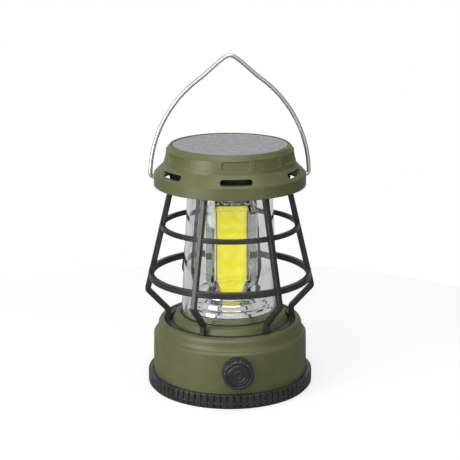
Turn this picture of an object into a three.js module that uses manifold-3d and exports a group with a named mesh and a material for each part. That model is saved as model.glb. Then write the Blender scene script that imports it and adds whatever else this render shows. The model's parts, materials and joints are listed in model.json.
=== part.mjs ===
// A solar camping lantern: a round base with a dimmer knob, a clear chimney in a wire-like moulded
// cage, a lamp block with two light panels, and a vented cap with a solar cell and a wire bail.
// Millimetres, +Z up. The origin is the centre of the flat underside, the knob faces -Y, and the
// bail swings about an axis along X.
import * as THREE from "three";
import { mergeVertices } from "three/addons/utils/BufferGeometryUtils.js";
import Module from "manifold-3d";

const wasm = await Module();
wasm.setup();

// Clearances
const gap = 0.3; // between pieces that touch
const slack = 0.5; // round a piece that moves

// Base
const baseRadius = 57; // outer wall, at the top of its straight part
const baseHeight = 50.6; // crown of the shoulder
const wall = 2.2; // moulded shells
const lipFlare = 3.8; // how far the lower lip stands out from the wall
const coverHeight = 11; // ribbed band of the bottom cover
const coverFloor = 3.2;
const coverOverhang = 0.7; // how far the ribs stand out from the lip
const coverChamfer = 1.5; // plain edge below the ribs
const ribCount = 80;
const ribDepth = 0.9;
const collarWall = 2.8; // inner collar, round the sunken deck under the reflector
const bossRadius = 3.4;
const coverScrewCount = 4;
const screwRadius = 1.3;
const screwHeadRadius = 2.9;
const screwHeadHeight = 1.4;

// Cage
const footRadius = 46.2; // centre-line of the lower ring
const bulgeRadius = 61.3; // centre-line of a rib at its outward bend
const bulgeHeight = 73.5;
const kneeHeight = 57.5;
const cageRibCount = 6;
const ribWidth = 3.6; // along the circle
const ribThickness = 4.2; // across the circle
const cageRingWidth = 3.8;
const cageRingHeight = 3.2;
const upperHoopHeight = 121.6;
const upperHoopDepth = 3;
const upperHoopTall = 3.5;
const lowerHoopHeight = 84.7;
const lowerHoopDepth = 3.6;
const lowerHoopTall = 4.6;
const cageScrewRadius = 1.1;

// Chimney and lamp block
const chimneyFootRadius = 36.3;
const chimneyHeadRadius = 30.8;
const chimneyWall = 2;
const sealHeight = 2;
const lensHalf = 19; // half the width across the main faces
const lensFaceHalf = 12.2; // half the width of one main face
const lensBottom = 73.3;
const lensBevelTall = 10.8;
const lensBevelDepth = 4;
const lensTopBevel = 3;
const lensWall = 5.6;
const lensTopWall = 1.4;
const lensTopDrop = 12.9; // top of the block below the cap's lower edge
const panelHalfWidth = 11;
const panelThickness = 1.2;
const panelTailHalfWidth = 7.6; // tapered lower end of a panel
const coreHalfWidth = 10;
const postRadius = 7.4;
const reflectorThickness = 1;

// Cap
const capBottom = 152.2; // lower edge of the skirt
const capRadius = 55.6;
const skirtHeight = 9.1;
const shoulderRun = 7; // the 45 degree shoulder, in and up
const neckHeight = 13.7;
const neckTaper = 4.4; // how far the neck leans in on its way up
const rimWidth = 1.3;
const coreClearance = 1.9; // round the closed core inside the neck
const ledgeInner = 33.5; // ledge under the solar cell
const solarRecess = 0.4;
const solarCoverThickness = 1;
const solarCellThickness = 1.4;
const ventCount = 6; // the first at the front
const ventLength = 22.5;
const ventTall = 3.7;
const ventRise = 10.1; // lower edge of a vent above the skirt's lower edge
const capScrewCount = 3;

// Bail
const wireRadius = 1.5;
const bailStandOff = 1; // between the wire and the skirt
const bailEndLength = 3.5; // end of the wire inside the skirt
const bailCornerRadius = 3;
const pivotRise = 6.3; // above the skirt's lower edge
const bailSideRadius = 88; // arc of each side
const bailArcDegrees = 54; // how far that arc turns
const bailPeakHeight = 87.5; // crown of the centre-line above the pivots

// Knob and dimmer
const knobHeight = 28.4;
const knobRadius = 11.5;
const knobDepth = 10.4;
const scallopCount = 10;
const scallopDepth = 0.75;
const knobFaceRadius = 8;
const knobFaceDepth = 1.2;
const dimmerHalf = 7.5;
const dimmerDepth = 9;
const bushRadius = 3.6;
const shaftRadius = 2.5;
const nutHalf = 5;
const nutThickness = 1.8;

// Power
const cellRadius = 9.2;
const cellLength = 65;
const cellSpacing = 19.4;
const trayWall = 1.6;
const trayHeight = 12;
const trayShift = 4; // towards the rear
const boardThickness = 1.6;
const portWidth = 9;
const portTall = 3.2;
const portDepth = 7.4;
const flapWidth = 18;
const flapTall = 10;
const flapThickness = 2;
const hingeTabTall = 3;
const hingeRise = 2; // hinge line above the flap's rounded lower edge
const indicatorRadius = 1.5;
const indicatorSpacing = 15; // from the port, along the wall

// Steps round a circle
const wideSteps = 36;
const mediumSteps = 24;
const smallSteps = 16;
const tinySteps = 8;

// Heights and radii that follow from the sizes above
const lipRadius = baseRadius + lipFlare;
const coverRadius = lipRadius + coverOverhang;
const lipBottom = coverHeight + gap;
const channelHalf = Math.max(cageRingWidth, ribThickness) / 2 + slack;
const channelOuter = footRadius + channelHalf;
const channelInner = footRadius - channelHalf;
const channelFloor = baseHeight - 4;
const collarTop = baseHeight + 4.2;
const sealFloor = collarTop - 2.5;
const chimneyBottom = sealFloor + gap + sealHeight + gap;
const grooveOuter = chimneyFootRadius + slack; // groove that the chimney stands in
const grooveInner = chimneyFootRadius - chimneyWall - slack;
const deckRadius = grooveInner - collarWall;
const headBottom = capBottom + 0.6; // upper ring of the cage
const headTop = headBottom + cageRingHeight;
const ribTop = headBottom + 1;
const plateBottom = headTop + gap; // plate that closes the cap's core
const plateTop = plateBottom + wall;
const chimneyTop = plateBottom - gap - sealHeight - gap;
const deckTop = collarTop + 0.2;
const innerCollarTop = collarTop + 4;
const skirtTop = capBottom + skirtHeight;
const shoulderTop = skirtTop + shoulderRun;
const neckRadius = capRadius - shoulderRun - 0.4;
const plateRadius = neckRadius - wall - coreClearance;
const headRadius = plateRadius - cageRingWidth / 2; // centre-line of the cage's upper ring
const capScrewCircle = headRadius - cageRingWidth / 2 - slack - screwHeadRadius;
const capTop = shoulderTop + neckHeight;
const rimRadius = neckRadius - neckTaper;
const coverTop = capTop - solarRecess;
const cellTop = coverTop - solarCoverThickness - gap;
const ledgeTop = cellTop - solarCellThickness - gap;
const ledgeBottom = ledgeTop - wall;
const solarRadius = rimRadius - rimWidth - gap;
const pivotHeight = capBottom + pivotRise;
const bailHalfWidth = capRadius + bailStandOff + wireRadius;
const wallOuter = baseRadius + 0.2; // outer wall at the height of the knob and port
const wallInner = baseRadius - wall;
const bossCircle = wallInner - bossRadius + 1;
const cavityHalf = lensHalf - lensWall;
const lensTop = capBottom - lensTopDrop;
const cavityTop = lensTop - lensTopWall;
const panelBottom = lensBottom + gap + 0.1;
const trayFloorTop = coverFloor + gap + trayWall;
const cellHeight = trayFloorTop + gap + cellRadius;
const boardBottom = cellHeight + cellRadius + 1;
const boardTop = boardBottom + boardThickness;
const portHeight = boardTop + gap + portTall / 2;

const lantern = new THREE.Group();

const finishes = {
  olivePlastic: { color: 0x6b7048, roughness: 0.42, metalness: 0 },
  blackPlastic: { color: 0x2e2e30, roughness: 0.5, metalness: 0 },
  greyPlastic: { color: 0x6f7276, roughness: 0.6, metalness: 0 },
  blackRubber: { color: 0x202022, roughness: 0.85, metalness: 0 },
  chromedPlastic: { color: 0xd8dadc, roughness: 0.12, metalness: 1 },
  steel: { color: 0xc4c6c8, roughness: 0.25, metalness: 1 },
  aluminium: { color: 0xb9bcc0, roughness: 0.4, metalness: 1 },
  clearPlastic: { color: 0xf2f6f6, roughness: 0.05, metalness: 0, transparent: true, opacity: 0.3 },
  phosphor: { color: 0xebe128, roughness: 0.6, metalness: 0 },
  circuitBoard: { color: 0x1f5a35, roughness: 0.5, metalness: 0 },
  batteryWrap: { color: 0x2f6fae, roughness: 0.4, metalness: 0 },
  siliconCell: { color: 0x8f9092, roughness: 0.3, metalness: 0 },
};

function addPiece(name, geometry, finish) {
  const mesh = new THREE.Mesh(geometry, new THREE.MeshStandardMaterial(finishes[finish]));
  mesh.name = name;
  lantern.add(mesh);
  return mesh;
}

// Solids for joining and cutting
function solidFrom(geometry) {
  const bare = geometry.clone();
  bare.deleteAttribute("normal");
  bare.deleteAttribute("uv");
  const merged = mergeVertices(bare, 1e-4);
  const vertProperties = merged.attributes.position.array;
  const triVerts = new Uint32Array(merged.index.array);
  return new wasm.Manifold(new wasm.Mesh({ numProp: 3, vertProperties, triVerts }));
}

function geometryFrom(solid) {
  const mesh = solid.getMesh();
  const geometry = new THREE.BufferGeometry();
  geometry.setAttribute("position", new THREE.BufferAttribute(mesh.vertProperties, 3));
  geometry.setIndex(new THREE.BufferAttribute(mesh.triVerts, 1));
  geometry.computeVertexNormals();
  return geometry;
}

function joined(geometries) {
  return geometryFrom(geometries.map(solidFrom).reduce((whole, next) => whole.add(next)));
}

function cut(geometry, tools) {
  const whole = solidFrom(geometry);
  return geometryFrom(tools.map(solidFrom).reduce((left, tool) => left.subtract(tool), whole));
}

function common(geometries) {
  return geometryFrom(geometries.map(solidFrom).reduce((whole, next) => whole.intersect(next)));
}

// A profile is a list of [radius, height]. It runs anticlockwise, and starts and ends on the axis
// or closes on itself.
function turned(profile, steps = mediumSteps) {
  const points = profile.map(([radius, height]) => new THREE.Vector2(radius, height));
  return new THREE.LatheGeometry(points, steps).rotateX(Math.PI / 2);
}

function disc(radius, low, high, steps = mediumSteps) {
  return turned([[0, low], [radius, low], [radius, high], [0, high]], steps);
}

function ring(inner, outer, low, high, steps = mediumSteps) {
  return turned([[inner, low], [outer, low], [outer, high], [inner, high], [inner, low]], steps);
}

function block(width, depth, height, x, y, z) {
  return new THREE.BoxGeometry(width, depth, height).translate(x, y, z);
}

// A prism of an outline drawn in X and Z, from y = near to y = far
function prismAlongY(outline, near, far) {
  const shape = new THREE.Shape(outline.map(([x, z]) => new THREE.Vector2(x, z)));
  const options = { depth: far - near, bevelEnabled: false };
  return new THREE.ExtrudeGeometry(shape, options).rotateX(Math.PI / 2).translate(0, far, 0);
}

// A cylinder along Y, from y = near to y = far, at x and z
function rodAlongY(radius, near, far, x, z, steps = smallSteps) {
  const rod = new THREE.CylinderGeometry(radius, radius, far - near, steps);
  return rod.translate(x, (near + far) / 2, z);
}

// A cylinder or screw that stands along Z at x and y
function upright(radius, low, high, x, y, steps = tinySteps) {
  return disc(radius, low, high, steps).translate(x, y, 0);
}

// Moves a geometry made for the front (-Y) round the axis by an angle in degrees
function swungRound(geometry, degrees) {
  return geometry.rotateZ(THREE.MathUtils.degToRad(degrees));
}

function angleOf(index, count, first = 0) {
  return first + (360 * index) / count;
}

function roundedSlot(width, height) {
  const radius = height / 2;
  const reach = width / 2 - radius;
  const shape = new THREE.Shape();
  shape.absarc(reach, 0, radius, -Math.PI / 2, Math.PI / 2);
  shape.absarc(-reach, 0, radius, Math.PI / 2, (3 * Math.PI) / 2);
  return shape;
}

// A slot-shaped cutter along Y, from y = near to y = far, centred at x and z
function slotCutter(width, height, near, far, x, z) {
  const options = { depth: far - near, bevelEnabled: false, curveSegments: 3 };
  const cutter = new THREE.ExtrudeGeometry(roundedSlot(width, height), options);
  return cutter.rotateX(Math.PI / 2).translate(x, far, z);
}

// A screw that points up, with its head's underside at z = seat
function screwGeometry(seat, length, radius) {
  const headUnder = seat - screwHeadHeight;
  const profile = [
    [0, headUnder],
    [screwHeadRadius - 0.4, headUnder],
    [screwHeadRadius, headUnder + 0.5],
    [screwHeadRadius, seat],
    [radius, seat],
    [radius, seat + length - 1],
    [0, seat + length],
  ];
  return turned(profile, tinySteps);
}

// Base shell: lip, wall, two-step shoulder, channel for the cage, collar and deck in one moulding
function baseShell() {
  const profile = [
    [lipRadius - 0.3 - wall, lipBottom],
    [lipRadius - 0.3, lipBottom],
    [lipRadius, lipBottom + 1],
    [baseRadius + 2.3, lipBottom + 2.3],
    [baseRadius + 1.8, lipBottom + 4],
    [baseRadius + 0.5, lipBottom + 6.8],
    [baseRadius, baseHeight - 11.1],
    [baseRadius - 1.3, baseHeight - 9.3],
    [baseRadius - 2.5, baseHeight - 8.2],
    [baseRadius - 3.3, baseHeight - 6.2],
    [baseRadius - 3.6, baseHeight - 2.9],
    [baseRadius - 4.7, baseHeight - 0.8],
    [baseRadius - 7, baseHeight],
    [channelOuter, baseHeight - 0.3],
    [channelOuter, channelFloor],
    [channelInner, channelFloor],
    [channelInner, baseHeight - 2.2],
    [grooveOuter + 2.2, collarTop],
    [grooveOuter, collarTop],
    [grooveOuter, sealFloor],
    [grooveInner, sealFloor],
    [grooveInner, innerCollarTop],
    [deckRadius, innerCollarTop],
    [deckRadius, deckTop],
    [postRadius + gap, deckTop],
    [postRadius + gap, deckTop - wall],
    [deckRadius, deckTop - wall],
    [grooveOuter + 1, sealFloor - wall],
    [channelInner - wall, channelFloor],
    [channelInner - wall, channelFloor - wall],
    [channelOuter + wall, channelFloor - wall],
    [wallInner, baseHeight - 12],
    [wallInner + 0.4, lipBottom + 7.4],
    [lipRadius - 0.3 - wall, lipBottom],
  ];
  const bosses = [];
  const holes = [];
  for (let i = 0; i < coverScrewCount; i += 1) {
    const turn = angleOf(i, coverScrewCount, 45);
    const boss = upright(bossRadius, coverFloor + gap, lipBottom + 18, 0, -bossCircle);
    const hole = upright(screwRadius + gap, coverFloor, coverFloor + 13, 0, -bossCircle);
    bosses.push(swungRound(boss, turn));
    holes.push(swungRound(hole, turn));
  }
  for (const turn of cageScrewTurns()) {
    const hole = upright(cageScrewRadius + gap, channelFloor - wall - 1, channelFloor + 1, 0, -footRadius);
    holes.push(swungRound(hole, turn));
  }
  const through = wallOuter + 2;
  holes.push(rodAlongY(bushRadius + gap, -through, -wallInner + 2, 0, knobHeight));
  holes.push(slotCutter(portWidth + 1.6, portTall + 1.6, wallInner - 2, through, 0, portHeight));
  const pipeHole = indicatorRadius + gap;
  holes.push(rodAlongY(pipeHole, wallInner - 3, through, indicatorSpacing, portHeight, tinySteps));
  return cut(joined([turned(profile, wideSteps), ...bosses]), holes);
}

// Bottom cover: a flat floor and a band of grip ribs
function gearOutline() {
  const points = [];
  const pitch = (2 * Math.PI) / ribCount;
  for (let i = 0; i < ribCount; i += 1) {
    for (const [share, radius] of [
      [-0.36, coverRadius],
      [0.36, coverRadius],
      [0.5, coverRadius - ribDepth],
    ]) {
      const angle = pitch * (i + share);
      points.push([radius * Math.cos(angle), radius * Math.sin(angle)]);
    }
  }
  return points;
}

function bottomCover() {
  const inner = lipRadius - wall - 0.6;
  const outer = coverRadius - ribDepth - 0.2;
  const profile = [
    [0, 0],
    [outer - 0.8, 0],
    [outer, coverChamfer],
    [outer, coverHeight],
    [inner, coverHeight],
    [inner, coverFloor],
    [0, coverFloor],
  ];
  const outline = new THREE.Shape(gearOutline().map(([x, y]) => new THREE.Vector2(x, y)));
  outline.holes.push(new THREE.Path().absarc(0, 0, outer - 1, 0, 2 * Math.PI, true));
  const options = { depth: coverHeight - coverChamfer, bevelEnabled: false, curveSegments: wideSteps };
  const band = new THREE.ExtrudeGeometry(outline, options).translate(0, 0, coverChamfer);
  const holes = [];
  for (let i = 0; i < coverScrewCount; i += 1) {
    const turn = angleOf(i, coverScrewCount, 45);
    const seat = 0.3 + screwHeadHeight + gap;
    holes.push(swungRound(upright(screwHeadRadius + gap, -1, seat, 0, -bossCircle, smallSteps), turn));
    holes.push(swungRound(upright(screwRadius + gap, 0, coverFloor + 1, 0, -bossCircle), turn));
  }
  return cut(joined([turned(profile, wideSteps), band]), holes);
}

// Cage: ribs, rings and hoops in one moulding
function ribRadiusAt(height) {
  const share = (height - bulgeHeight) / (ribTop - bulgeHeight);
  return bulgeRadius + (headRadius - bulgeRadius) * share;
}

function offsetLine(points, distance) {
  return points.map((point, i) => {
    const before = points[Math.max(i - 1, 0)];
    const after = points[Math.min(i + 1, points.length - 1)];
    const into = new THREE.Vector2(point[0] - before[0], point[1] - before[1]).normalize();
    const away = new THREE.Vector2(after[0] - point[0], after[1] - point[1]).normalize();
    const along = into.clone().add(away).normalize();
    const stretch = distance / along.dot(i === 0 ? away : i === points.length - 1 ? into : away);
    return [point[0] + along.y * stretch, point[1] - along.x * stretch];
  });
}

function cageRib() {
  const line = [
    [footRadius, channelFloor + 1],
    [footRadius, kneeHeight],
    [bulgeRadius, bulgeHeight],
    [headRadius, ribTop],
  ];
  const outer = offsetLine(line, ribThickness / 2);
  const inner = offsetLine(line, -ribThickness / 2);
  const outline = [...outer, ...inner.reverse()];
  const rib = prismAlongY(outline, -ribWidth / 2, ribWidth / 2);
  return rib.rotateZ(-Math.PI / 2);
}

function cageScrewTurns() {
  return [30, 150, 270];
}

function capScrewTurns() {
  return [...Array(capScrewCount).keys()].map((i) => angleOf(i, capScrewCount, 60));
}

function cage() {
  const footBottom = channelFloor + gap;
  const half = cageRingWidth / 2;
  const pieces = [
    ring(footRadius - half, footRadius + half, footBottom, footBottom + cageRingHeight, wideSteps),
    ring(headRadius - half, headRadius + half, headBottom, headTop, wideSteps),
  ];
  for (const [height, depth, tall] of [
    [lowerHoopHeight, lowerHoopDepth, lowerHoopTall],
    [upperHoopHeight, upperHoopDepth, upperHoopTall],
  ]) {
    const radius = ribRadiusAt(height);
    const low = height - tall / 2;
    pieces.push(ring(radius - depth / 2, radius + depth / 2, low, low + tall, wideSteps));
  }
  for (let i = 0; i < cageRibCount; i += 1) {
    pieces.push(swungRound(cageRib(), angleOf(i, cageRibCount, 30)));
  }
  const holes = [];
  for (const turn of capScrewTurns()) {
    const lugRadius = screwHeadRadius + 0.4;
    const lug = upright(lugRadius, headBottom + 1.2, headTop, 0, -capScrewCircle);
    const arm = block(2 * lugRadius, headRadius - capScrewCircle, headTop - headBottom - 1.2, 0, 0, 0);
    arm.translate(0, -(headRadius + capScrewCircle) / 2, (headTop + headBottom + 1.2) / 2);
    pieces.push(swungRound(lug, turn), swungRound(arm, turn));
    holes.push(swungRound(upright(screwRadius + gap, headBottom, headTop + 1, 0, -capScrewCircle), turn));
  }
  for (const turn of cageScrewTurns()) {
    const hole = upright(cageScrewRadius + gap, footBottom - 1, footBottom + 4, 0, -footRadius);
    holes.push(swungRound(hole, turn));
  }
  return cut(joined(pieces), holes);
}

// Chimney, seals and reflectors
function chimney() {
  const lean = (chimneyFootRadius - chimneyHeadRadius) / (chimneyTop - chimneyBottom);
  const radiusAt = (height) => chimneyFootRadius - lean * (height - chimneyBottom);
  return turned([
    [chimneyFootRadius - chimneyWall, chimneyBottom],
    [chimneyFootRadius, chimneyBottom],
    [radiusAt(chimneyTop), chimneyTop],
    [radiusAt(chimneyTop) - chimneyWall, chimneyTop],
    [chimneyFootRadius - chimneyWall, chimneyBottom],
  ], wideSteps);
}

function lowerReflector() {
  const seat = lensHalf + 4.4;
  const seatHeight = lensBottom - gap;
  const outer = chimneyFootRadius - chimneyWall - 1.8;
  const between = (share) => seat + (outer - seat) * share;
  const surface = [
    [postRadius + gap, seatHeight],
    [seat, seatHeight],
    [between(0.1), seatHeight - 3.2],
    [between(0.58), seatHeight - 6],
    [between(0.66), seatHeight - 9.4],
    [outer - 0.4, innerCollarTop + 2.6],
    [outer, innerCollarTop + gap],
  ];
  const under = [
    [outer - reflectorThickness, innerCollarTop + gap],
    [between(0.1) - 2 * reflectorThickness, seatHeight - 4.6],
    [postRadius + gap, seatHeight - reflectorThickness],
    surface[0],
  ];
  return turned([...surface, ...under].reverse());
}

function upperReflector() {
  const top = plateBottom - gap;
  const outer = chimneyHeadRadius - chimneyWall - 1.2;
  return turned([
    [0, lensTop + gap],
    [lensHalf - lensTopBevel, lensTop + gap],
    [outer - 2, top - 5],
    [outer, top - 3],
    [outer, top],
    [0, top],
  ]);
}

// Lamp block: a chamfered square prism, bevelled above and below on its main faces, open below
function bevelProfile() {
  return [
    [-lensHalf + lensBevelDepth, lensBottom],
    [lensHalf - lensBevelDepth, lensBottom],
    [lensHalf, lensBottom + lensBevelTall],
    [lensHalf, lensTop - lensTopBevel],
    [lensHalf - lensTopBevel, lensTop],
    [-lensHalf + lensTopBevel, lensTop],
    [-lensHalf, lensTop - lensTopBevel],
    [-lensHalf, lensBottom + lensBevelTall],
  ];
}

function lightLens() {
  const corner = [
    [lensHalf, lensFaceHalf],
    [lensFaceHalf, lensHalf],
    [-lensFaceHalf, lensHalf],
    [-lensHalf, lensFaceHalf],
    [-lensHalf, -lensFaceHalf],
    [-lensFaceHalf, -lensHalf],
    [lensFaceHalf, -lensHalf],
    [lensHalf, -lensFaceHalf],
  ];
  const shape = new THREE.Shape(corner.map(([x, y]) => new THREE.Vector2(x, y)));
  const height = lensTop - lensBottom + 2;
  const prism = new THREE.ExtrudeGeometry(shape, { depth: height, bevelEnabled: false });
  prism.translate(0, 0, lensBottom - 1);
  const reach = lensHalf + 1;
  const frontBevels = prismAlongY(bevelProfile(), -reach, reach);
  const sideBevels = prismAlongY(bevelProfile(), -reach, reach).rotateZ(Math.PI / 2);
  const cavityTall = cavityTop - lensBottom + 1;
  const cavityMiddle = cavityTop - cavityTall / 2;
  const cavity = block(2 * (panelHalfWidth + slack), 2 * cavityHalf, cavityTall, 0, 0, cavityMiddle);
  return cut(common([prism, frontBevels, sideBevels]), [cavity]);
}

function panelOutline() {
  const top = cavityTop - gap;
  const shoulder = lensBottom + lensBevelTall;
  return [
    [-panelTailHalfWidth, panelBottom],
    [panelTailHalfWidth, panelBottom],
    [panelHalfWidth, shoulder],
    [panelHalfWidth, top],
    [-panelHalfWidth, top],
    [-panelHalfWidth, shoulder],
  ];
}

function ledCore() {
  const half = cavityHalf - gap - panelThickness - gap;
  const top = cavityTop - gap;
  const low = panelBottom;
  const bar = block(2 * coreHalfWidth, 2 * half, top - low, 0, 0, (top + low) / 2);
  const tail = lensBottom + lensBevelTall;
  const bite = coreHalfWidth - panelTailHalfWidth + 1;
  const sides = [-1, 1].map((side) => {
    const wedge = [
      [side * (panelTailHalfWidth - 1), low - 1],
      [side * (coreHalfWidth + 1), low - 1],
      [side * (coreHalfWidth + 1), tail + bite],
    ];
    return prismAlongY(side > 0 ? wedge : wedge.reverse(), -half - 1, half + 1);
  });
  const post = disc(postRadius, deckTop - wall - 4, low + 1, smallSteps);
  return joined([cut(bar, sides), post]);
}

// Cap: skirt, shoulder, neck and ledge in one moulding, with vents and pivot holes
function capShell() {
  const profile = [
    [capRadius - wall, capBottom],
    [capRadius, capBottom],
    [capRadius, skirtTop - 0.2],
    [capRadius - 0.25, skirtTop],
    [capRadius - shoulderRun - 0.1, shoulderTop - 0.15],
    [neckRadius, shoulderTop + 0.3],
    [neckRadius - 0.9, shoulderTop + 6],
    [neckRadius - 1.6, capTop - 3.6],
    [rimRadius + 0.7, capTop - 0.9],
    [rimRadius - 0.3, capTop],
    [rimRadius - rimWidth, capTop - 0.2],
    [rimRadius - rimWidth, ledgeTop],
    [ledgeInner, ledgeTop],
    [ledgeInner, ledgeBottom],
    [rimRadius + 2 - wall, ledgeBottom],
    [neckRadius - wall, shoulderTop],
    [neckRadius - wall, shoulderTop - 0.6],
    [capRadius - wall, skirtTop - 1],
    [capRadius - wall, capBottom],
  ];
  const bosses = capScrewTurns().map((turn) =>
    swungRound(upright(bossRadius - 0.2, plateTop + gap, ledgeBottom + 0.5, 0, -capScrewCircle), turn),
  );
  const holes = capScrewTurns().map((turn) =>
    swungRound(upright(screwRadius + gap, plateTop, plateTop + 9, 0, -capScrewCircle), turn),
  );
  const ventHeight = capBottom + ventRise + ventTall / 2;
  for (let i = 0; i < ventCount; i += 1) {
    const vent = slotCutter(ventLength, ventTall, -capRadius - 3, -neckRadius + 1, 0, ventHeight);
    holes.push(swungRound(vent, angleOf(i, ventCount)));
  }
  for (const side of [90, 270]) {
    const outside = -capRadius - 2;
    const hole = rodAlongY(wireRadius + slack, outside, outside + wall + 4, 0, pivotHeight, tinySteps);
    holes.push(swungRound(hole, side));
  }
  return cut(joined([turned(profile, wideSteps), ...bosses]), holes);
}

function capBase() {
  const lipInner = chimneyHeadRadius + slack;
  const profile = [
    [0, plateBottom],
    [lipInner, plateBottom],
    [lipInner, plateBottom - 4],
    [lipInner + 1.6, plateBottom - 4],
    [lipInner + 1.6, plateBottom],
    [plateRadius, plateBottom],
    [plateRadius, shoulderTop - 1.4],
    [plateRadius - wall, shoulderTop - 1.4],
    [plateRadius - wall, plateTop],
    [0, plateTop],
  ];
  const holes = capScrewTurns().map((turn) =>
    swungRound(upright(screwRadius + gap, plateBottom - 1, plateTop + 1, 0, -capScrewCircle), turn),
  );
  return cut(turned(profile), holes);
}

// Bail: one wire from pivot to pivot, with a crown to hang it by
function bail() {
  const inside = capRadius - wall - bailEndLength;
  const centre = bailHalfWidth - bailSideRadius;
  const arcEnd = THREE.MathUtils.degToRad(bailArcDegrees);
  const endX = centre + bailSideRadius * Math.cos(arcEnd);
  const endZ = bailSideRadius * Math.sin(arcEnd);
  const point = (x, z) => new THREE.Vector3(x, 0, pivotHeight + z);
  const route = new THREE.CurvePath();
  const rise = 9;
  const sideCurves = (side) => {
    const flip = (x, z) => point(side * x, z);
    const arc = [];
    const first = Math.asin(bailCornerRadius / bailSideRadius);
    for (let i = 0; i <= 12; i += 1) {
      const angle = first + ((arcEnd - first) * i) / 12;
      arc.push(flip(centre + bailSideRadius * Math.cos(angle), bailSideRadius * Math.sin(angle)));
    }
    const start = flip(inside, 0);
    const bend = flip(bailHalfWidth - bailCornerRadius, 0);
    return [
      new THREE.LineCurve3(start, bend),
      new THREE.QuadraticBezierCurve3(bend, flip(bailHalfWidth, 0), arc[0]),
      new THREE.CatmullRomCurve3(arc),
      new THREE.CubicBezierCurve3(
        arc[12],
        flip(endX - rise * Math.sin(arcEnd), endZ + rise * Math.cos(arcEnd)),
        flip(4.8, bailPeakHeight),
        flip(0, bailPeakHeight),
      ),
    ];
  };
  sideCurves(-1).forEach((curve) => route.add(curve));
  for (const curve of sideCurves(1).reverse()) {
    route.add(new ReversedCurve(curve));
  }
  const section = new THREE.Shape().absarc(0, 0, wireRadius, 0, 2 * Math.PI);
  return new THREE.ExtrudeGeometry(section, { steps: 64, curveSegments: 4, extrudePath: route });
}

// The same curve, run from its far end
class ReversedCurve extends THREE.Curve {
  constructor(curve) {
    super();
    this.curve = curve;
  }

  getPoint(t, target = new THREE.Vector3()) {
    return this.curve.getPoint(1 - t, target);
  }
}

// Knob and dimmer
function knob(back, front) {
  const points = [];
  const steps = scallopCount * 4;
  for (let i = 0; i < steps; i += 1) {
    const angle = (2 * Math.PI * i) / steps;
    const wave = Math.abs(Math.sin((scallopCount * angle) / 2));
    const radius = knobRadius - scallopDepth * (1 - wave) ** 1.5 - 0.8;
    points.push([radius * Math.cos(angle), radius * Math.sin(angle)]);
  }
  const shape = new THREE.Shape(points.map(([x, z]) => new THREE.Vector2(x, z)));
  const bevel = 0.8;
  const edge = { bevelThickness: bevel, bevelSize: bevel, bevelSegments: 1 };
  const options = { depth: back - front - 2 * bevel, ...edge };
  const body = new THREE.ExtrudeGeometry(shape, options).rotateX(Math.PI / 2);
  body.translate(0, back - bevel, knobHeight);
  return cut(body, [
    rodAlongY(knobFaceRadius + gap, front - 1, front + knobFaceDepth, 0, knobHeight),
    rodAlongY(nutHalf + 1.8, back - nutThickness - 1, back + 1, 0, knobHeight),
    rodAlongY(shaftRadius + gap, front + 3, back + 1, 0, knobHeight),
  ]);
}

function knobFace(front) {
  const depth = knobFaceDepth - gap;
  const profile = [
    [0, 0],
    [knobFaceRadius, 0],
    [knobFaceRadius, depth - 0.4],
    [knobFaceRadius - 0.4, depth],
    [4.4, depth],
    [4, depth - 0.5],
    [3.6, depth],
    [0, depth],
  ];
  const face = turned(profile, smallSteps).rotateX(Math.PI / 2);
  return face.translate(0, front + depth, knobHeight);
}

function dimmer(bodyFront, bushFront) {
  const size = 2 * dimmerHalf;
  const body = block(size, dimmerDepth, size, 0, bodyFront + dimmerDepth / 2, knobHeight);
  const bush = rodAlongY(bushRadius, bushFront, bodyFront + 1, 0, knobHeight);
  const bore = rodAlongY(shaftRadius + gap, bushFront - 1, bodyFront + dimmerDepth / 2, 0, knobHeight);
  return cut(joined([body, bush]), [bore]);
}

function hexNut(near, far) {
  const nut = new THREE.CylinderGeometry(nutHalf, nutHalf, far - near, 6);
  nut.translate(0, (near + far) / 2, knobHeight);
  return cut(nut, [rodAlongY(bushRadius + gap, near - 1, far + 1, 0, knobHeight)]);
}

// Power pieces
function batteryTray() {
  const width = cellLength + 2 * slack + 2 * trayWall;
  const depth = cellSpacing + 2 * (cellRadius + slack + trayWall);
  const low = coverFloor + gap;
  const shell = block(width, depth, trayHeight, 0, 0, low + trayHeight / 2);
  const roomMiddle = trayFloorTop + trayHeight / 2;
  const room = block(width - 2 * trayWall, depth - 2 * trayWall, trayHeight, 0, 0, roomMiddle);
  const posts = [];
  const postDepth = 6;
  const tall = boardBottom - gap - low;
  for (const x of [-1, 1]) {
    for (const y of [-1, 1]) {
      const post = block(trayWall, postDepth, tall, 0, 0, low + tall / 2);
      posts.push(post.translate((x * (width - trayWall)) / 2, (y * (depth - postDepth)) / 2, 0));
    }
  }
  return joined([cut(shell, [room]), ...posts]).translate(0, trayShift, 0);
}

function batteryCell() {
  const cap = 3;
  const half = cellLength / 2;
  const profile = [
    [0, -half],
    [cellRadius, -half],
    [cellRadius, half - 1.2],
    [cap, half - 1.2],
    [cap, half],
    [0, half],
  ];
  return turned(profile, smallSteps).rotateY(Math.PI / 2);
}

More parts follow.
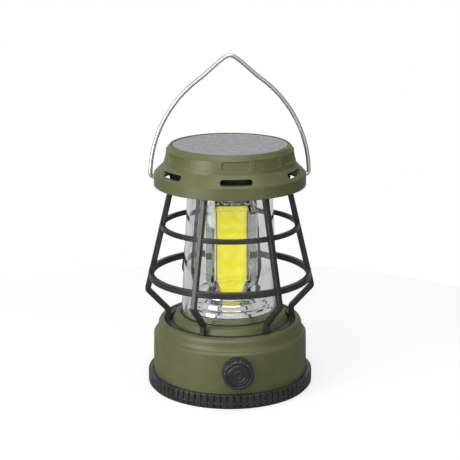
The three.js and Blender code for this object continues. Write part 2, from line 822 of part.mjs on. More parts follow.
function controlBoard() {
  const half = cellLength / 2 + slack + trayWall;
  const depth = cellSpacing / 2 + cellRadius + slack + trayWall;
  const tongue = portWidth / 2 + 6;
  const rear = wallInner - 4.5;
  const outline = [
    [-half, trayShift - depth],
    [half, trayShift - depth],
    [half, trayShift + depth],
    [tongue, trayShift + depth + 4],
    [tongue, rear],
    [-tongue, rear],
    [-tongue, trayShift + depth + 4],
    [-half, trayShift + depth],
  ];
  const shape = new THREE.Shape(outline.map(([x, y]) => new THREE.Vector2(x, y)));
  const board = new THREE.ExtrudeGeometry(shape, { depth: boardThickness, bevelEnabled: false });
  const parts = [
    block(8, 8, 3, -12, 2, boardTop + 1),
    block(6, 10, 5, 6, 12, boardTop + 2),
    block(5, 4, 2, 18, -4, boardTop + 0.5),
    upright(4, boardTop - 0.5, boardTop + 9, 22, 14),
    block(10, 5, 6, -22, -8, boardTop + 2.5),
  ];
  return joined([board.translate(0, 0, boardBottom), ...parts]);
}

function chargePort(mouth) {
  const shell = slotCutter(portWidth, portTall, mouth - portDepth, mouth, 0, portHeight);
  const room = slotCutter(portWidth - 0.8, portTall - 0.8, mouth - portDepth + 1, mouth + 1, 0, portHeight);
  const tongue = block(portWidth - 2.4, portDepth - 1, 0.7, 0, mouth - portDepth / 2 - 0.2, portHeight);
  return joined([cut(shell, [room]), tongue]);
}

function buildBase() {
  addPiece("base_shell", baseShell(), "olivePlastic");
  addPiece("bottom_cover", bottomCover(), "blackPlastic");
  for (let i = 0; i < coverScrewCount; i += 1) {
    const screw = screwGeometry(0.3 + screwHeadHeight, 12, screwRadius).translate(0, -bossCircle, 0);
    addPiece(`cover_screw_${i + 1}`, swungRound(screw, angleOf(i, coverScrewCount, 45)), "steel");
  }
  addPiece("battery_tray", batteryTray(), "greyPlastic");
  [-1, 1].forEach((side, i) => {
    const cell = batteryCell().translate(0, trayShift + (side * cellSpacing) / 2, cellHeight);
    addPiece(`battery_cell_${i + 1}`, cell, "batteryWrap");
  });
  addPiece("control_board", controlBoard(), "circuitBoard");
  const mouth = wallOuter - 1;
  addPiece("charge_port", chargePort(mouth), "steel");
  const flapNear = wallOuter + slack;
  const flapFar = flapNear + flapThickness;
  const hingeHeight = portHeight - flapTall / 2 + hingeRise;
  const flap = slotCutter(flapWidth, flapTall, flapNear, flapFar, 0, portHeight);
  const hingeMiddle = hingeHeight - hingeTabTall / 2;
  const belowHinge = block(flapWidth, 3 * flapThickness, hingeTabTall, 0, flapNear, hingeMiddle);
  addPiece("port_cover", cut(flap, [belowHinge]), "blackRubber");
  const tab = block(flapWidth / 2, flapThickness, hingeTabTall, 0, 0, hingeMiddle - gap);
  tab.translate(0, flapNear + flapThickness / 2, 0);
  addPiece("port_cover_anchor", tab, "blackRubber");
  const pipeNear = wallInner - 2.4;
  const pipeFar = wallOuter - 1.6;
  const pipe = rodAlongY(indicatorRadius, pipeNear, pipeFar, indicatorSpacing, portHeight, tinySteps);
  addPiece("charge_indicator", pipe, "clearPlastic");
}

function buildControl() {
  const bodyFront = -wallInner + 1.2;
  const back = -wallOuter - 0.8;
  const front = back - knobDepth;
  const nutFar = -wallOuter - slack;
  addPiece("dimmer", dimmer(bodyFront, nutFar - nutThickness - 0.4), "aluminium");
  const shaftRear = bodyFront + dimmerDepth / 2 - gap;
  addPiece("dimmer_shaft", rodAlongY(shaftRadius, front + 3.4, shaftRear, 0, knobHeight), "aluminium");
  addPiece("dimmer_nut", hexNut(nutFar - nutThickness, nutFar), "steel");
  addPiece("control_knob", knob(back, front), "blackPlastic");
  addPiece("knob_face", knobFace(front), "blackPlastic");
}

function buildLamp() {
  const sealOuter = chimneyFootRadius - 0.2;
  const sealInner = chimneyFootRadius - chimneyWall + 0.2;
  const low = sealFloor + gap;
  addPiece("chimney_seal_lower", ring(sealInner, sealOuter, low, low + sealHeight), "blackRubber");
  addPiece("chimney", chimney(), "clearPlastic");
  const high = plateBottom - gap;
  const headOuter = chimneyHeadRadius - 0.1;
  const headSeal = ring(headOuter - chimneyWall + 0.3, headOuter, high - sealHeight, high);
  addPiece("chimney_seal_upper", headSeal, "blackRubber");
  addPiece("lower_reflector", lowerReflector(), "chromedPlastic");
  addPiece("upper_reflector", upperReflector(), "chromedPlastic");
  addPiece("light_lens", lightLens(), "clearPlastic");
  addPiece("led_core", ledCore(), "aluminium");
  const outer = cavityHalf - gap;
  const panel = prismAlongY(panelOutline(), -outer, -outer + panelThickness);
  addPiece("led_panel_front", panel, "phosphor");
  addPiece("led_panel_rear", swungRound(panel.clone(), 180), "phosphor");
}

function buildCage() {
  addPiece("cage", cage(), "blackPlastic");
  cageScrewTurns().forEach((turn, i) => {
    const seat = channelFloor - wall - gap;
    const screw = screwGeometry(seat, 6, cageScrewRadius).translate(0, -footRadius, 0);
    addPiece(`cage_screw_${i + 1}`, swungRound(screw, turn), "steel");
  });
}

function buildCap() {
  addPiece("cap_base", capBase(), "blackPlastic");
  addPiece("cap_shell", capShell(), "olivePlastic");
  capScrewTurns().forEach((turn, i) => {
    const screw = screwGeometry(headBottom + 1.2 - gap, 13, screwRadius).translate(0, -capScrewCircle, 0);
    addPiece(`cap_screw_${i + 1}`, swungRound(screw, turn), "steel");
  });
  const cellBottom = ledgeTop + gap;
  addPiece("solar_cell", disc(solarRadius, cellBottom, cellTop), "siliconCell");
  addPiece("solar_cover", disc(solarRadius, cellTop + gap, coverTop), "clearPlastic");
  addPiece("bail", bail(), "steel");
}

buildBase();
buildControl();
buildLamp();
buildCage();
buildCap();

export default lantern;
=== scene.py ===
import json
import math

import bmesh
import bpy
from mathutils import Matrix, Vector


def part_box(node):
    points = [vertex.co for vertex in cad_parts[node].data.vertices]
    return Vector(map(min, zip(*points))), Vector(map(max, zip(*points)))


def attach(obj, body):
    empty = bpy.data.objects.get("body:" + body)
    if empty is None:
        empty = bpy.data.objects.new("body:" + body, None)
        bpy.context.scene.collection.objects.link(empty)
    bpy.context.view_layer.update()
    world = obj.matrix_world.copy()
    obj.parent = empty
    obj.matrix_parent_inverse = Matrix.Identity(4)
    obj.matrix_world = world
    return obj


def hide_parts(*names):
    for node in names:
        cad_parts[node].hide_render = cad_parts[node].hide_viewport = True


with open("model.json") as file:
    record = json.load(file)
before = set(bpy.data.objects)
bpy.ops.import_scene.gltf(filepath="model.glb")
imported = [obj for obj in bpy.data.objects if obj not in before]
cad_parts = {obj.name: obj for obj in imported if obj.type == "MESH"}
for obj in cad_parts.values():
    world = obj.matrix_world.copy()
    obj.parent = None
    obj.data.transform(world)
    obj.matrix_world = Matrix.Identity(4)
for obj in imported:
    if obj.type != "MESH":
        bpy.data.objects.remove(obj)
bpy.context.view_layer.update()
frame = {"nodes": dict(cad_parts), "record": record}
record = frame["record"]
mm = 0.001  # shapes are drawn in millimetres and scaled when they are set in place
print("frame loaded,", len(frame["nodes"]), "nodes")

bodyOfNode = {node: body for body, nodes in record["behaviour"]["bodies"].items() for node in nodes}
pivotHeight = record["behaviour"]["joints"][0]["pos_m"][2] / mm  # where the bail turns in the cap


def extent(node):
    low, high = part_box(node)
    return low / mm, high / mm


def middle(node):
    low, high = extent(node)
    return (low + high) / 2


def softened(profile, closed=True, fallback=0.25):
    # rounds each corner of a profile; a third number in a point is its own corner size
    points = []
    count = len(profile)
    for i, entry in enumerate(profile):
        corner = Vector(entry[:2])
        size = entry[2] if len(entry) > 2 else fallback
        atEnd = not closed and i in (0, count - 1)
        if atEnd or size == 0:
            points.append(corner)
            continue
        before = Vector(profile[i - 1][:2]) - corner
        after = Vector(profile[(i + 1) % count][:2]) - corner
        inside = before.angle(after)
        if inside > math.pi - 0.02:
            points.append(corner)
            continue
        reach = min(size / math.tan(inside / 2), 0.48 * before.length, 0.48 * after.length)
        first = corner + before.normalized() * reach
        last = corner + after.normalized() * reach
        steps = max(2, round((math.pi - inside) / 0.32))
        for k in range(steps + 1):
            t = k / steps
            points.append((1 - t) ** 2 * first + 2 * t * (1 - t) * corner + t * t * last)
    return points


def evenAngles(steps):
    return [2 * math.pi * k / steps for k in range(steps)]


def skin(rings, closed):
    # joins rings of points into a mesh; a ring of one point is a pole
    shape = bmesh.new()
    rows = [[shape.verts.new(point) for point in points] for points in rings]
    pairs = list(zip(rows, rows[1:]))
    if closed:
        pairs.append((rows[-1], rows[0]))
    count = max(len(row) for row in rows)
    for low, high in pairs:
        for k in range(count):
            n = (k + 1) % count
            corners = (low[k % len(low)], low[n % len(low)], high[n % len(high)], high[k % len(high)])
            corners = list(dict.fromkeys(corners))
            if len(corners) > 2:
                shape.faces.new(corners)
    return shape


def lathe(points, angles, wave=None, closed=True):
    # turns points round Z, from the front (-Y)
    # wave(angle), times a point's third value, comes off the radius
    rings = []
    for point in points:
        radius, height = point[0], point[1]
        if radius < 1e-6:
            rings.append([(0, 0, height)])
            continue
        share = point[2] if wave and len(point) > 2 else 0
        ring = []
        for angle in angles:
            r = radius - (share * wave(angle) if share else 0)
            ring.append((r * math.sin(angle), -r * math.cos(angle), height))
        rings.append(ring)
    return skin(rings, closed)


def capped(loops):
    # a solid through loops of equal length, closed by a face at each end
    shape = skin(loops, False)
    shape.verts.ensure_lookup_table()
    count = len(loops[0])
    shape.faces.new([shape.verts[k] for k in range(count)])
    shape.faces.new([shape.verts[-1 - k] for k in range(count)])
    return shape


def workpiece(name, shape, turn=None):
    bmesh.ops.recalc_face_normals(shape, faces=list(shape.faces))
    mesh = bpy.data.meshes.new(name)
    shape.to_mesh(mesh)
    shape.free()
    if turn:
        mesh.transform(turn)
    piece = bpy.data.objects.new(name, mesh)
    bpy.context.scene.collection.objects.link(piece)
    return piece


def worked(piece, operation, tools):
    # joins, cuts or crosses a workpiece with others, which are used up
    for tool in tools:
        step = piece.modifiers.new(operation, "BOOLEAN")
        step.operation = operation
        step.solver = "MANIFOLD"
        step.object = tool
    graph = bpy.context.evaluated_depsgraph_get()
    mesh = bpy.data.meshes.new_from_object(piece.evaluated_get(graph))
    piece.modifiers.clear()
    piece.data = mesh
    for tool in tools:
        bpy.data.objects.remove(tool)
    return piece


def place(piece, material, node, replacing=True, sharp=34):
    mesh = piece.data
    mesh.transform(Matrix.Scale(mm, 4))
    mesh.shade_smooth()
    mesh.set_sharp_from_angle(angle=math.radians(sharp))
    mesh.materials.clear()
    mesh.materials.append(material)
    shading = piece.modifiers.new("flatStaysFlat", "WEIGHTED_NORMAL")  # else wide faces shade as if they bent
    shading.keep_sharp = True
    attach(piece, bodyOfNode[node])
    if replacing:
        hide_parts(node)
    return piece


def about(axis, degrees):
    return Matrix.Rotation(math.radians(degrees), 4, axis)


def shift(x, y, z):
    return Matrix.Translation((x, y, z))


towardsFront = about("X", 90)  # a shape turned round Z then runs along -Y
round24 = evenAngles(24)
round48 = evenAngles(48)
round192 = evenAngles(192)


def turnedRing(name, profile):
    return workpiece(name, lathe(softened(profile), round192))


def turnedSolid(name, profile, turn=None, angles=round192):
    # the profile starts and ends on the axis
    return workpiece(name, lathe(softened(profile, closed=False), angles, closed=False), turn)


def rod(radius, low, high, turn=None, angles=round48):
    points = [(0, low), (radius, low), (radius, high), (0, high)]
    return workpiece("tool", lathe(points, angles, closed=False), turn)


def box(wide, deep, tall):
    shape = bmesh.new()
    bmesh.ops.create_cube(shape, size=1, matrix=Matrix.Diagonal((wide, deep, tall, 1)))
    return shape


def cutFlat(shape, normal, distance):
    # takes off what lies beyond a flat, and closes the cut
    normal = Vector(normal).normalized()
    cut = bmesh.ops.bisect_plane(
        shape, geom=list(shape.verts) + list(shape.edges) + list(shape.faces),
        plane_co=normal * distance, plane_no=normal, clear_outer=True,
    )
    edges = [item for item in cut["geom_cut"] if isinstance(item, bmesh.types.BMEdge)]
    bmesh.ops.holes_fill(shape, edges=edges)


def curve(holds, steps):
    # the points of a Bezier curve after its first
    points = []
    for k in range(1, steps + 1):
        row = holds
        while len(row) > 1:
            row = [a.lerp(b, k / steps) for a, b in zip(row, row[1:])]
        points.append(row[0])
    return points


screwCounts = {"cover_screw": 4, "cage_screw": 3, "cap_screw": 3}


def screwPlaces(kind):
    spots = [middle(f"{kind}_{i}") for i in range(1, screwCounts[kind] + 1)]
    return [shift(spot.x, spot.y, 0) for spot in spots]


def slotColumns(halfWidth, halfHeight, corner, growth=0, steps=10):
    # (along, half height) across a slot with rounded ends
    wide = halfWidth + growth
    tall = halfHeight + growth
    bend = corner + growth
    thinnest = 0.04  # no column shuts, so that every loop has as many points
    spans = 7  # of the straight middle
    columns = []
    for k in range(steps + 1):
        angle = math.pi / 2 * (1 - k / steps)
        columns.append((wide - bend + bend * math.cos(angle), tall - bend + bend * math.sin(angle)))
    right = [(x, max(h, thinnest)) for x, h in columns]
    flat = [(-1 + 2 * k / spans) * (wide - bend) for k in range(1, spans)]
    return [(-x, h) for x, h in reversed(right)] + [(x, tall) for x in flat] + right


def slotPlug(slot, surface, layers):
    # a slot-shaped solid that follows a turned surface
    # a layer is (depth below the surface, growth of the slot)
    loops = []
    for depth, growth in layers:
        columns = slotColumns(slot["half"], slot["tall"] / 2, slot["corner"], growth)
        loop = []
        for side, ordered in ((-1, columns), (1, list(reversed(columns)))):
            for along, half in ordered:
                height = slot["height"] + side * half
                radius = surface(height) - depth
                angle = math.radians(slot["angle"]) + along / slot["radius"]
                loop.append((radius * math.sin(angle), -radius * math.cos(angle), height))
        loops.append(loop)
    shape = skin(loops, False)
    shape.verts.ensure_lookup_table()
    count = len(loops[0])
    for first in (0, len(shape.verts) - count):
        for k in range(count // 2 - 1):
            corners = (k, k + 1, count - 2 - k, count - 1 - k)
            shape.faces.new([shape.verts[first + c] for c in corners])
    return workpiece("tool", shape)


def addNode(tree, kind, inputs=None, **settings):
    node = tree.nodes.new("ShaderNode" + kind)
    for key, value in settings.items():
        setattr(node, key, value)
    for key, value in (inputs or {}).items():
        if isinstance(value, bpy.types.NodeSocket):
            tree.links.new(value, node.inputs[key])
        else:
            node.inputs[key].default_value = value
    return node


def calc(tree, operation, first, second=0.0):
    return addNode(tree, "Math", {0: first, 1: second}, operation=operation).outputs[0]


def between(tree, value, fromLow, fromHigh, toLow, toHigh):
    limits = {"Value": value, "From Min": fromLow, "From Max": fromHigh, "To Min": toLow, "To Max": toHigh}
    return addNode(tree, "MapRange", limits).outputs["Result"]


def blendColour(tree, factor, first, second):
    node = addNode(tree, "Mix", {0: factor}, data_type="RGBA")
    for index, colour in ((6, first), (7, second)):
        if isinstance(colour, bpy.types.NodeSocket):
            tree.links.new(colour, node.inputs[index])
        else:
            node.inputs[index].default_value = (*colour, 1)
    return node.outputs[2]


def effect(name, inputs, outputs):
    group = bpy.data.node_groups.new(name, "ShaderNodeTree")
    for label, value in inputs.items():
        socket = group.interface.new_socket(label, in_out="INPUT", socket_type="NodeSocketFloat")
        socket.default_value = value
    for label in outputs:
        group.interface.new_socket(label, in_out="OUTPUT", socket_type="NodeSocketFloat")
    entry = group.nodes.new("NodeGroupInput")
    end = group.nodes.new("NodeGroupOutput")
    return group, entry, end


def useEffect(tree, group, **values):
    node = tree.nodes.new("ShaderNodeGroup")
    node.node_tree = group
    for label, value in values.items():
        node.inputs[label].default_value = value
    return node


def makeMouldGrain():
    # fine spark-eroded grain, and a slow unevenness of the moulding
    group, entry, end = effect("mouldGrain", {"fineness": 2200, "patch": 45}, ("height", "mottle"))
    spot = addNode(group, "TexCoord").outputs["Object"]
    fine = addNode(group, "TexNoise", {"Vector": spot, "Scale": entry.outputs["fineness"], "Detail": 3})
    pebble = addNode(group, "TexVoronoi", {"Vector": spot, "Scale": entry.outputs["fineness"]})
    height = calc(group, "ADD", fine.outputs["Fac"], calc(group, "MULTIPLY", pebble.outputs["Distance"], 0.6))
    slow = addNode(group, "TexNoise", {"Vector": spot, "Scale": entry.outputs["patch"], "Detail": 4})
    group.links.new(height, end.inputs["height"])
    group.links.new(between(group, slow.outputs["Fac"], 0.3, 0.7, 0, 1), end.inputs["mottle"])
    return group


def makeEdgeRub():
    # convex edges that hands and pockets have polished
    group, entry, end = effect("edgeRub", {"reach": 0.08, "patch": 160}, ("mask",))
    spot = addNode(group, "TexCoord").outputs["Object"]
    crest = addNode(group, "NewGeometry").outputs["Pointiness"]
    nearlyFlat = 0.51
    limit = calc(group, "ADD", nearlyFlat, entry.outputs["reach"])
    edge = between(group, crest, nearlyFlat, limit, 0, 1)
    patch = addNode(group, "TexNoise", {"Vector": spot, "Scale": entry.outputs["patch"], "Detail": 3})
    broken = between(group, patch.outputs["Fac"], 0.4, 0.62, 0.15, 1)
    group.links.new(calc(group, "MULTIPLY", edge, broken), end.inputs["mask"])
    return group


def makeLyingDust():
    # a little dust on what faces up
    group, entry, end = effect("lyingDust", {"amount": 0.1}, ("mask",))
    spot = addNode(group, "TexCoord").outputs["Object"]
    facing = addNode(group, "SeparateXYZ", {0: addNode(group, "NewGeometry").outputs["Normal"]})
    up = between(group, facing.outputs["Z"], 0.55, 1, 0, 1)
    specks = addNode(group, "TexNoise", {"Vector": spot, "Scale": 700, "Detail": 5})
    loose = between(group, specks.outputs["Fac"], 0.48, 0.72, 0, 1)
    lying = calc(group, "MULTIPLY", up, loose)
    group.links.new(calc(group, "MULTIPLY", lying, entry.outputs["amount"]), end.inputs["mask"])
    return group


def makeHairlinesAndBands():
    # wiping marks: a noise drawn out along one direction; drawn out upright on the chimney, its streaks of
    # lighter tint are painted reflection bands
    group, entry, end = effect("hairlinesAndBands", {"stretch": 0.06, "fineness": 900}, ("value",))
    spot = addNode(group, "TexCoord").outputs["Object"]
    size = addNode(group, "CombineXYZ", {"X": 1.0, "Y": 1.0, "Z": entry.outputs["stretch"]})
    drawn = addNode(group, "VectorMath", {0: spot, 1: size.outputs[0]}, operation="MULTIPLY")
    fineness = entry.outputs["fineness"]
    streak = addNode(group, "TexNoise", {"Vector": drawn.outputs[0], "Scale": fineness, "Detail": 4})
    group.links.new(between(group, streak.outputs["Fac"], 0.35, 0.68, 0, 1), end.inputs["value"])
    return group


mouldGrain = makeMouldGrain()
edgeRub = makeEdgeRub()
lyingDust = makeLyingDust()
hairlinesAndBands = makeHairlinesAndBands()


def newMaterial(name):
    material = bpy.data.materials.new(name)
    material.use_nodes = True
    tree = material.node_tree
    tree.nodes.clear()
    shader = addNode(tree, "BsdfPrincipled")
    output = addNode(tree, "OutputMaterial", {"Surface": shader.outputs[0]})
    return material, tree, shader, output


def addRelief(tree, shader, height, strength, depth):
    bump = addNode(tree, "Bump", {"Height": height, "Strength": strength, "Distance": depth * mm})
    tree.links.new(bump.outputs[0], shader.inputs["Normal"])


plainMould = {  # what a moulded look has unless it says otherwise
    "dustColour": (0.4, 0.4, 0.4), "dust": 0.05, "rubReach": 0.1, "rub": 0.3, "bump": 0.5, "depth": 0.08,
    "specular": 0.5,
}


def moulded(name, changes):
    # opaque moulded plastic or rubber
    look = {**plainMould, **changes}
    material, tree, shader, _ = newMaterial(name)
    grain = useEffect(tree, mouldGrain, fineness=look["fineness"], patch=look["patch"])
    rub = useEffect(tree, edgeRub, reach=look["rubReach"])
    dust = useEffect(tree, lyingDust, amount=look["dust"])
    body = blendColour(tree, grain.outputs["mottle"], look["dark"], look["light"])
    rubbed = blendColour(tree, calc(tree, "MULTIPLY", rub.outputs["mask"], look["rub"]), body, look["rubbed"])
    dusted = blendColour(tree, dust.outputs["mask"], rubbed, look["dustColour"])
    tree.links.new(dusted, shader.inputs["Base Color"])
    matt = between(tree, grain.outputs["height"], 0.4, 1.1, *look["gloss"])
    polish = calc(tree, "MULTIPLY", rub.outputs["mask"], 0.08)
    tree.links.new(calc(tree, "SUBTRACT", matt, polish), shader.inputs["Roughness"])
    addRelief(tree, shader, grain.outputs["height"], look["bump"], look["depth"])
    shader.inputs["Specular IOR Level"].default_value = look["specular"]
    return material


olivePlastic = moulded("olivePlastic", {
    "dark": (0.122, 0.133, 0.050), "light": (0.150, 0.162, 0.066), "rubbed": (0.24, 0.25, 0.13),
    "dustColour": (0.42, 0.41, 0.36), "dust": 0.10, "fineness": 1500, "patch": 60, "rub": 0.5,
    "gloss": (0.30, 0.44), "bump": 0.55, "depth": 0.10,
})
blackPlastic = moulded("blackPlastic", {
    "dark": (0.018, 0.018, 0.019), "light": (0.028, 0.028, 0.029), "rubbed": (0.12, 0.12, 0.12),
    "dustColour": (0.20, 0.20, 0.20), "fineness": 1800, "patch": 90, "rub": 0.35,
    "gloss": (0.24, 0.38), "bump": 0.4, "depth": 0.07, "specular": 0.6,
})
greyPlastic = moulded("greyPlastic", {
    "dark": (0.13, 0.135, 0.14), "light": (0.18, 0.185, 0.19), "rubbed": (0.3, 0.3, 0.3),
    "dustColour": (0.4, 0.4, 0.38), "fineness": 1300, "patch": 50, "gloss": (0.5, 0.65),
})
blackRubber = moulded("blackRubber", {
    "dark": (0.010, 0.010, 0.011), "light": (0.018, 0.018, 0.018), "rubbed": (0.05, 0.05, 0.05),
    "dustColour": (0.28, 0.27, 0.25), "dust": 0.16, "fineness": 1700, "patch": 110, "rubReach": 0.12,
    "rub": 0.4, "gloss": (0.68, 0.85), "depth": 0.06, "specular": 0.35,
})


def bareMetal(name, look):
    material, tree, shader, _ = newMaterial(name)
    lines = useEffect(tree, hairlinesAndBands, stretch=look["stretch"], fineness=look["fineness"]).outputs["value"]
    tree.links.new(blendColour(tree, lines, look["dark"], look["light"]), shader.inputs["Base Color"])
    tree.links.new(between(tree, lines, 0, 1, *look["gloss"]), shader.inputs["Roughness"])
    addRelief(tree, shader, lines, look["bump"], 0.02)
    shader.inputs["Metallic"].default_value = 1
    return material


brightWire = bareMetal("brightWire", {
    "dark": (0.74, 0.75, 0.76), "light": (0.84, 0.84, 0.85), "stretch": 0.12, "fineness": 700,
    "gloss": (0.20, 0.28), "bump": 0.02,
})
screwSteel = bareMetal("screwSteel", {
    "dark": (0.42, 0.42, 0.43), "light": (0.62, 0.62, 0.63), "stretch": 0.5, "fineness": 1500,
    "gloss": (0.2, 0.36), "bump": 0.3,
})
aluminium = bareMetal("aluminium", {
    "dark": (0.58, 0.59, 0.60), "light": (0.74, 0.75, 0.76), "stretch": 0.04, "fineness": 1800,
    "gloss": (0.28, 0.45), "bump": 0.4,
})
chromedPlastic = bareMetal("chromedPlastic", {
    "dark": (0.76, 0.77, 0.78), "light": (0.88, 0.88, 0.89), "stretch": 1.0, "fineness": 160,
    "gloss": (0.07, 0.13), "bump": 0.05,
})


plainClear = {"stretch": 1.0, "ior": 1.49, "clarity": 1}  # what a clear look has unless it says otherwise


def clear(name, changes):
    # clear moulding; shadow rays pass straight through it, tinted
    look = {**plainClear, **changes}
    material, tree, shader, output = newMaterial(name)
    lines = useEffect(tree, hairlinesAndBands, stretch=look["stretch"], fineness=look["fineness"]).outputs["value"]
    tree.links.new(between(tree, lines, 0.5, 1, *look["gloss"]), shader.inputs["Roughness"])
    # on the chimney these lighter streaks are painted reflection bands
    tree.links.new(blendColour(tree, lines, look["tint"], look["tintLight"]), shader.inputs["Base Color"])
    shader.inputs["IOR"].default_value = look["ior"]
    shader.inputs["Transmission Weight"].default_value = look["clarity"]
    through = addNode(tree, "BsdfTransparent", {"Color": (*look["tint"], 1)})
    shadow = addNode(tree, "LightPath").outputs["Is Shadow Ray"]
    mixed = addNode(tree, "MixShader", {0: shadow, 1: shader.outputs[0], 2: through.outputs[0]})
    tree.links.new(mixed.outputs[0], output.inputs["Surface"])
    return material


# its upright streaks of lighter tint are painted reflection bands
chimneyPlastic = clear("chimneyPlastic", {
    "tint": (0.87, 0.88, 0.875), "tintLight": (0.955, 0.96, 0.96), "stretch": 0.02, "fineness": 120,
    "gloss": (0.0, 0.03),
})
lensPlastic = clear("lensPlastic", {
    "tint": (0.78, 0.79, 0.785), "tintLight": (0.86, 0.87, 0.865), "fineness": 200, "gloss": (0.0, 0.02),
})
# a darker copy of the lens plastic: painted shade on the upright corners and corner facets
lensShadedSide = clear("lensShadedSide", {
    "tint": (0.42, 0.42, 0.41), "tintLight": (0.62, 0.62, 0.61), "stretch": 0.08, "fineness": 420,
    "gloss": (0.02, 0.12),
})
# a pale, partly milky copy of the lens plastic that paints highlight lines along the narrow edge faces
lensHighlightEdge = clear("lensHighlightEdge", {
    "tint": (0.88, 0.88, 0.86), "tintLight": (0.94, 0.94, 0.92), "fineness": 900, "gloss": (0.25, 0.4),
    "clarity": 0.4,
})
coverResin = clear("coverResin", {
    "tint": (0.95, 0.955, 0.965), "tintLight": (0.98, 0.98, 0.985), "fineness": 300, "gloss": (0.02, 0.10),
    "ior": 1.5,
})


def makePhosphor():
    # yellow silicone over the light chips; its emission is a painted glow that brightens the yellow behind
    # the tinted lens
    look = {"deep": (0.80, 0.69, 0.003), "pale": (0.86, 0.78, 0.010), "paintedGlow": 0.84, "gloss": (0.35, 0.55)}
    material, tree, shader, _ = newMaterial("phosphor")
    grain = useEffect(tree, mouldGrain, fineness=900, patch=55)
    colour = blendColour(tree, grain.outputs["mottle"], look["deep"], look["pale"])
    tree.links.new(colour, shader.inputs["Base Color"])
    # painted glow: the unlit panel is made to shine in its own yellow
    tree.links.new(colour, shader.inputs["Emission Color"])
    shader.inputs["Emission Strength"].default_value = look["paintedGlow"]
    shader.inputs["Specular IOR Level"].default_value = 0.2
    matt = between(tree, grain.outputs["height"], 0.4, 1.1, *look["gloss"])
    tree.links.new(matt, shader.inputs["Roughness"])
    addRelief(tree, shader, grain.outputs["height"], 0.3, 0.06)
    return material


phosphor = makePhosphor()
creamBoard = moulded("creamBoard", {
    "dark": (0.74, 0.68, 0.40), "light": (0.84, 0.79, 0.50), "rubbed": (0.80, 0.77, 0.58),
    "dustColour": (0.7, 0.7, 0.65), "dust": 0.02, "fineness": 1200, "patch": 80,
    "gloss": (0.35, 0.5), "bump": 0.2, "depth": 0.04,
})
batteryWrap = moulded("batteryWrap", {
    "dark": (0.022, 0.12, 0.32), "light": (0.035, 0.17, 0.42), "rubbed": (0.1, 0.25, 0.5),
    "dust": 0.03, "fineness": 500, "patch": 30, "gloss": (0.22, 0.36), "bump": 0.15, "depth": 0.05,
})


def makeCircuitBoard():
    # green lacquer over copper tracks
    look = {"lacquer": (0.008, 0.075, 0.028), "track": (0.018, 0.14, 0.05), "pitch": 420}
    material, tree, shader, _ = newMaterial("circuitBoard")
    spot = addNode(tree, "TexCoord").outputs["Object"]
    cells = {"Vector": spot, "Scale": look["pitch"], "Randomness": 0.55}
    tracks = addNode(tree, "TexVoronoi", cells, distance="CHEBYCHEV")
    lane = between(tree, tracks.outputs["Distance"], 0.28, 0.36, 0, 1)
    tree.links.new(blendColour(tree, lane, look["track"], look["lacquer"]), shader.inputs["Base Color"])
    tree.links.new(between(tree, lane, 0, 1, 0.3, 0.42), shader.inputs["Roughness"])
    addRelief(tree, shader, lane, 0.4, -0.03)
    return material


def makeSilicon():
    # blue-black cell with crystal facets and printed collector lines
    look = {
        "dark": (0.010, 0.012, 0.022), "light": (0.022, 0.025, 0.042), "line": (0.20, 0.20, 0.21),
        "pitch": 2.2, "lineShare": 0.09,
    }
    material, tree, shader, _ = newMaterial("silicon")
    spot = addNode(tree, "TexCoord").outputs["Object"]
    flakes = addNode(tree, "TexVoronoi", {"Vector": spot, "Scale": 240, "Randomness": 1})
    tone = addNode(tree, "SeparateColor", {0: flakes.outputs["Color"]}).outputs[0]
    body = blendColour(tree, tone, look["dark"], look["light"])
    across = addNode(tree, "SeparateXYZ", {0: spot}).outputs["X"]
    phase = calc(tree, "FRACT", calc(tree, "MULTIPLY", across, 1 / (look["pitch"] * mm)))
    finger = calc(tree, "LESS_THAN", phase, look["lineShare"])
    tree.links.new(blendColour(tree, finger, body, look["line"]), shader.inputs["Base Color"])
    tree.links.new(between(tree, tone, 0, 1, 0.25, 0.4), shader.inputs["Roughness"])
    return material


circuitBoard = makeCircuitBoard()
silicon = makeSilicon()
cellBacking = moulded("cellBacking", {
    "dark": (0.10, 0.105, 0.12), "light": (0.13, 0.135, 0.15), "rubbed": (0.2, 0.2, 0.2), "dust": 0.02,
    "fineness": 900, "patch": 60, "rub": 0.1, "gloss": (0.4, 0.55), "bump": 0.2, "depth": 0.04,
})
print("materials ready")


baseSizes = {
    "wall": 57.0, "crown": 50.6, "thickness": 2.2, "channelOuter": 48.8, "channelInner": 43.6,
    "channelFloor": 46.6, "collarTop": 54.8, "sealFloor": 52.3, "grooveOuter": 36.8, "grooveInner": 33.8,
    "deckTop": 55.0, "deckRadius": 31.0, "postHole": 7.7, "bossRadius": 3.4, "bossTop": 29.3,
    "screwHole": 1.6, "screwHoleTop": 16.2, "cageScrewHole": 1.4, "shaftHole": 3.9, "pipeHole": 1.8,
    "mouthHalf": 5.3, "mouthTall": 4.8, "mouthCorner": 2.4,
}


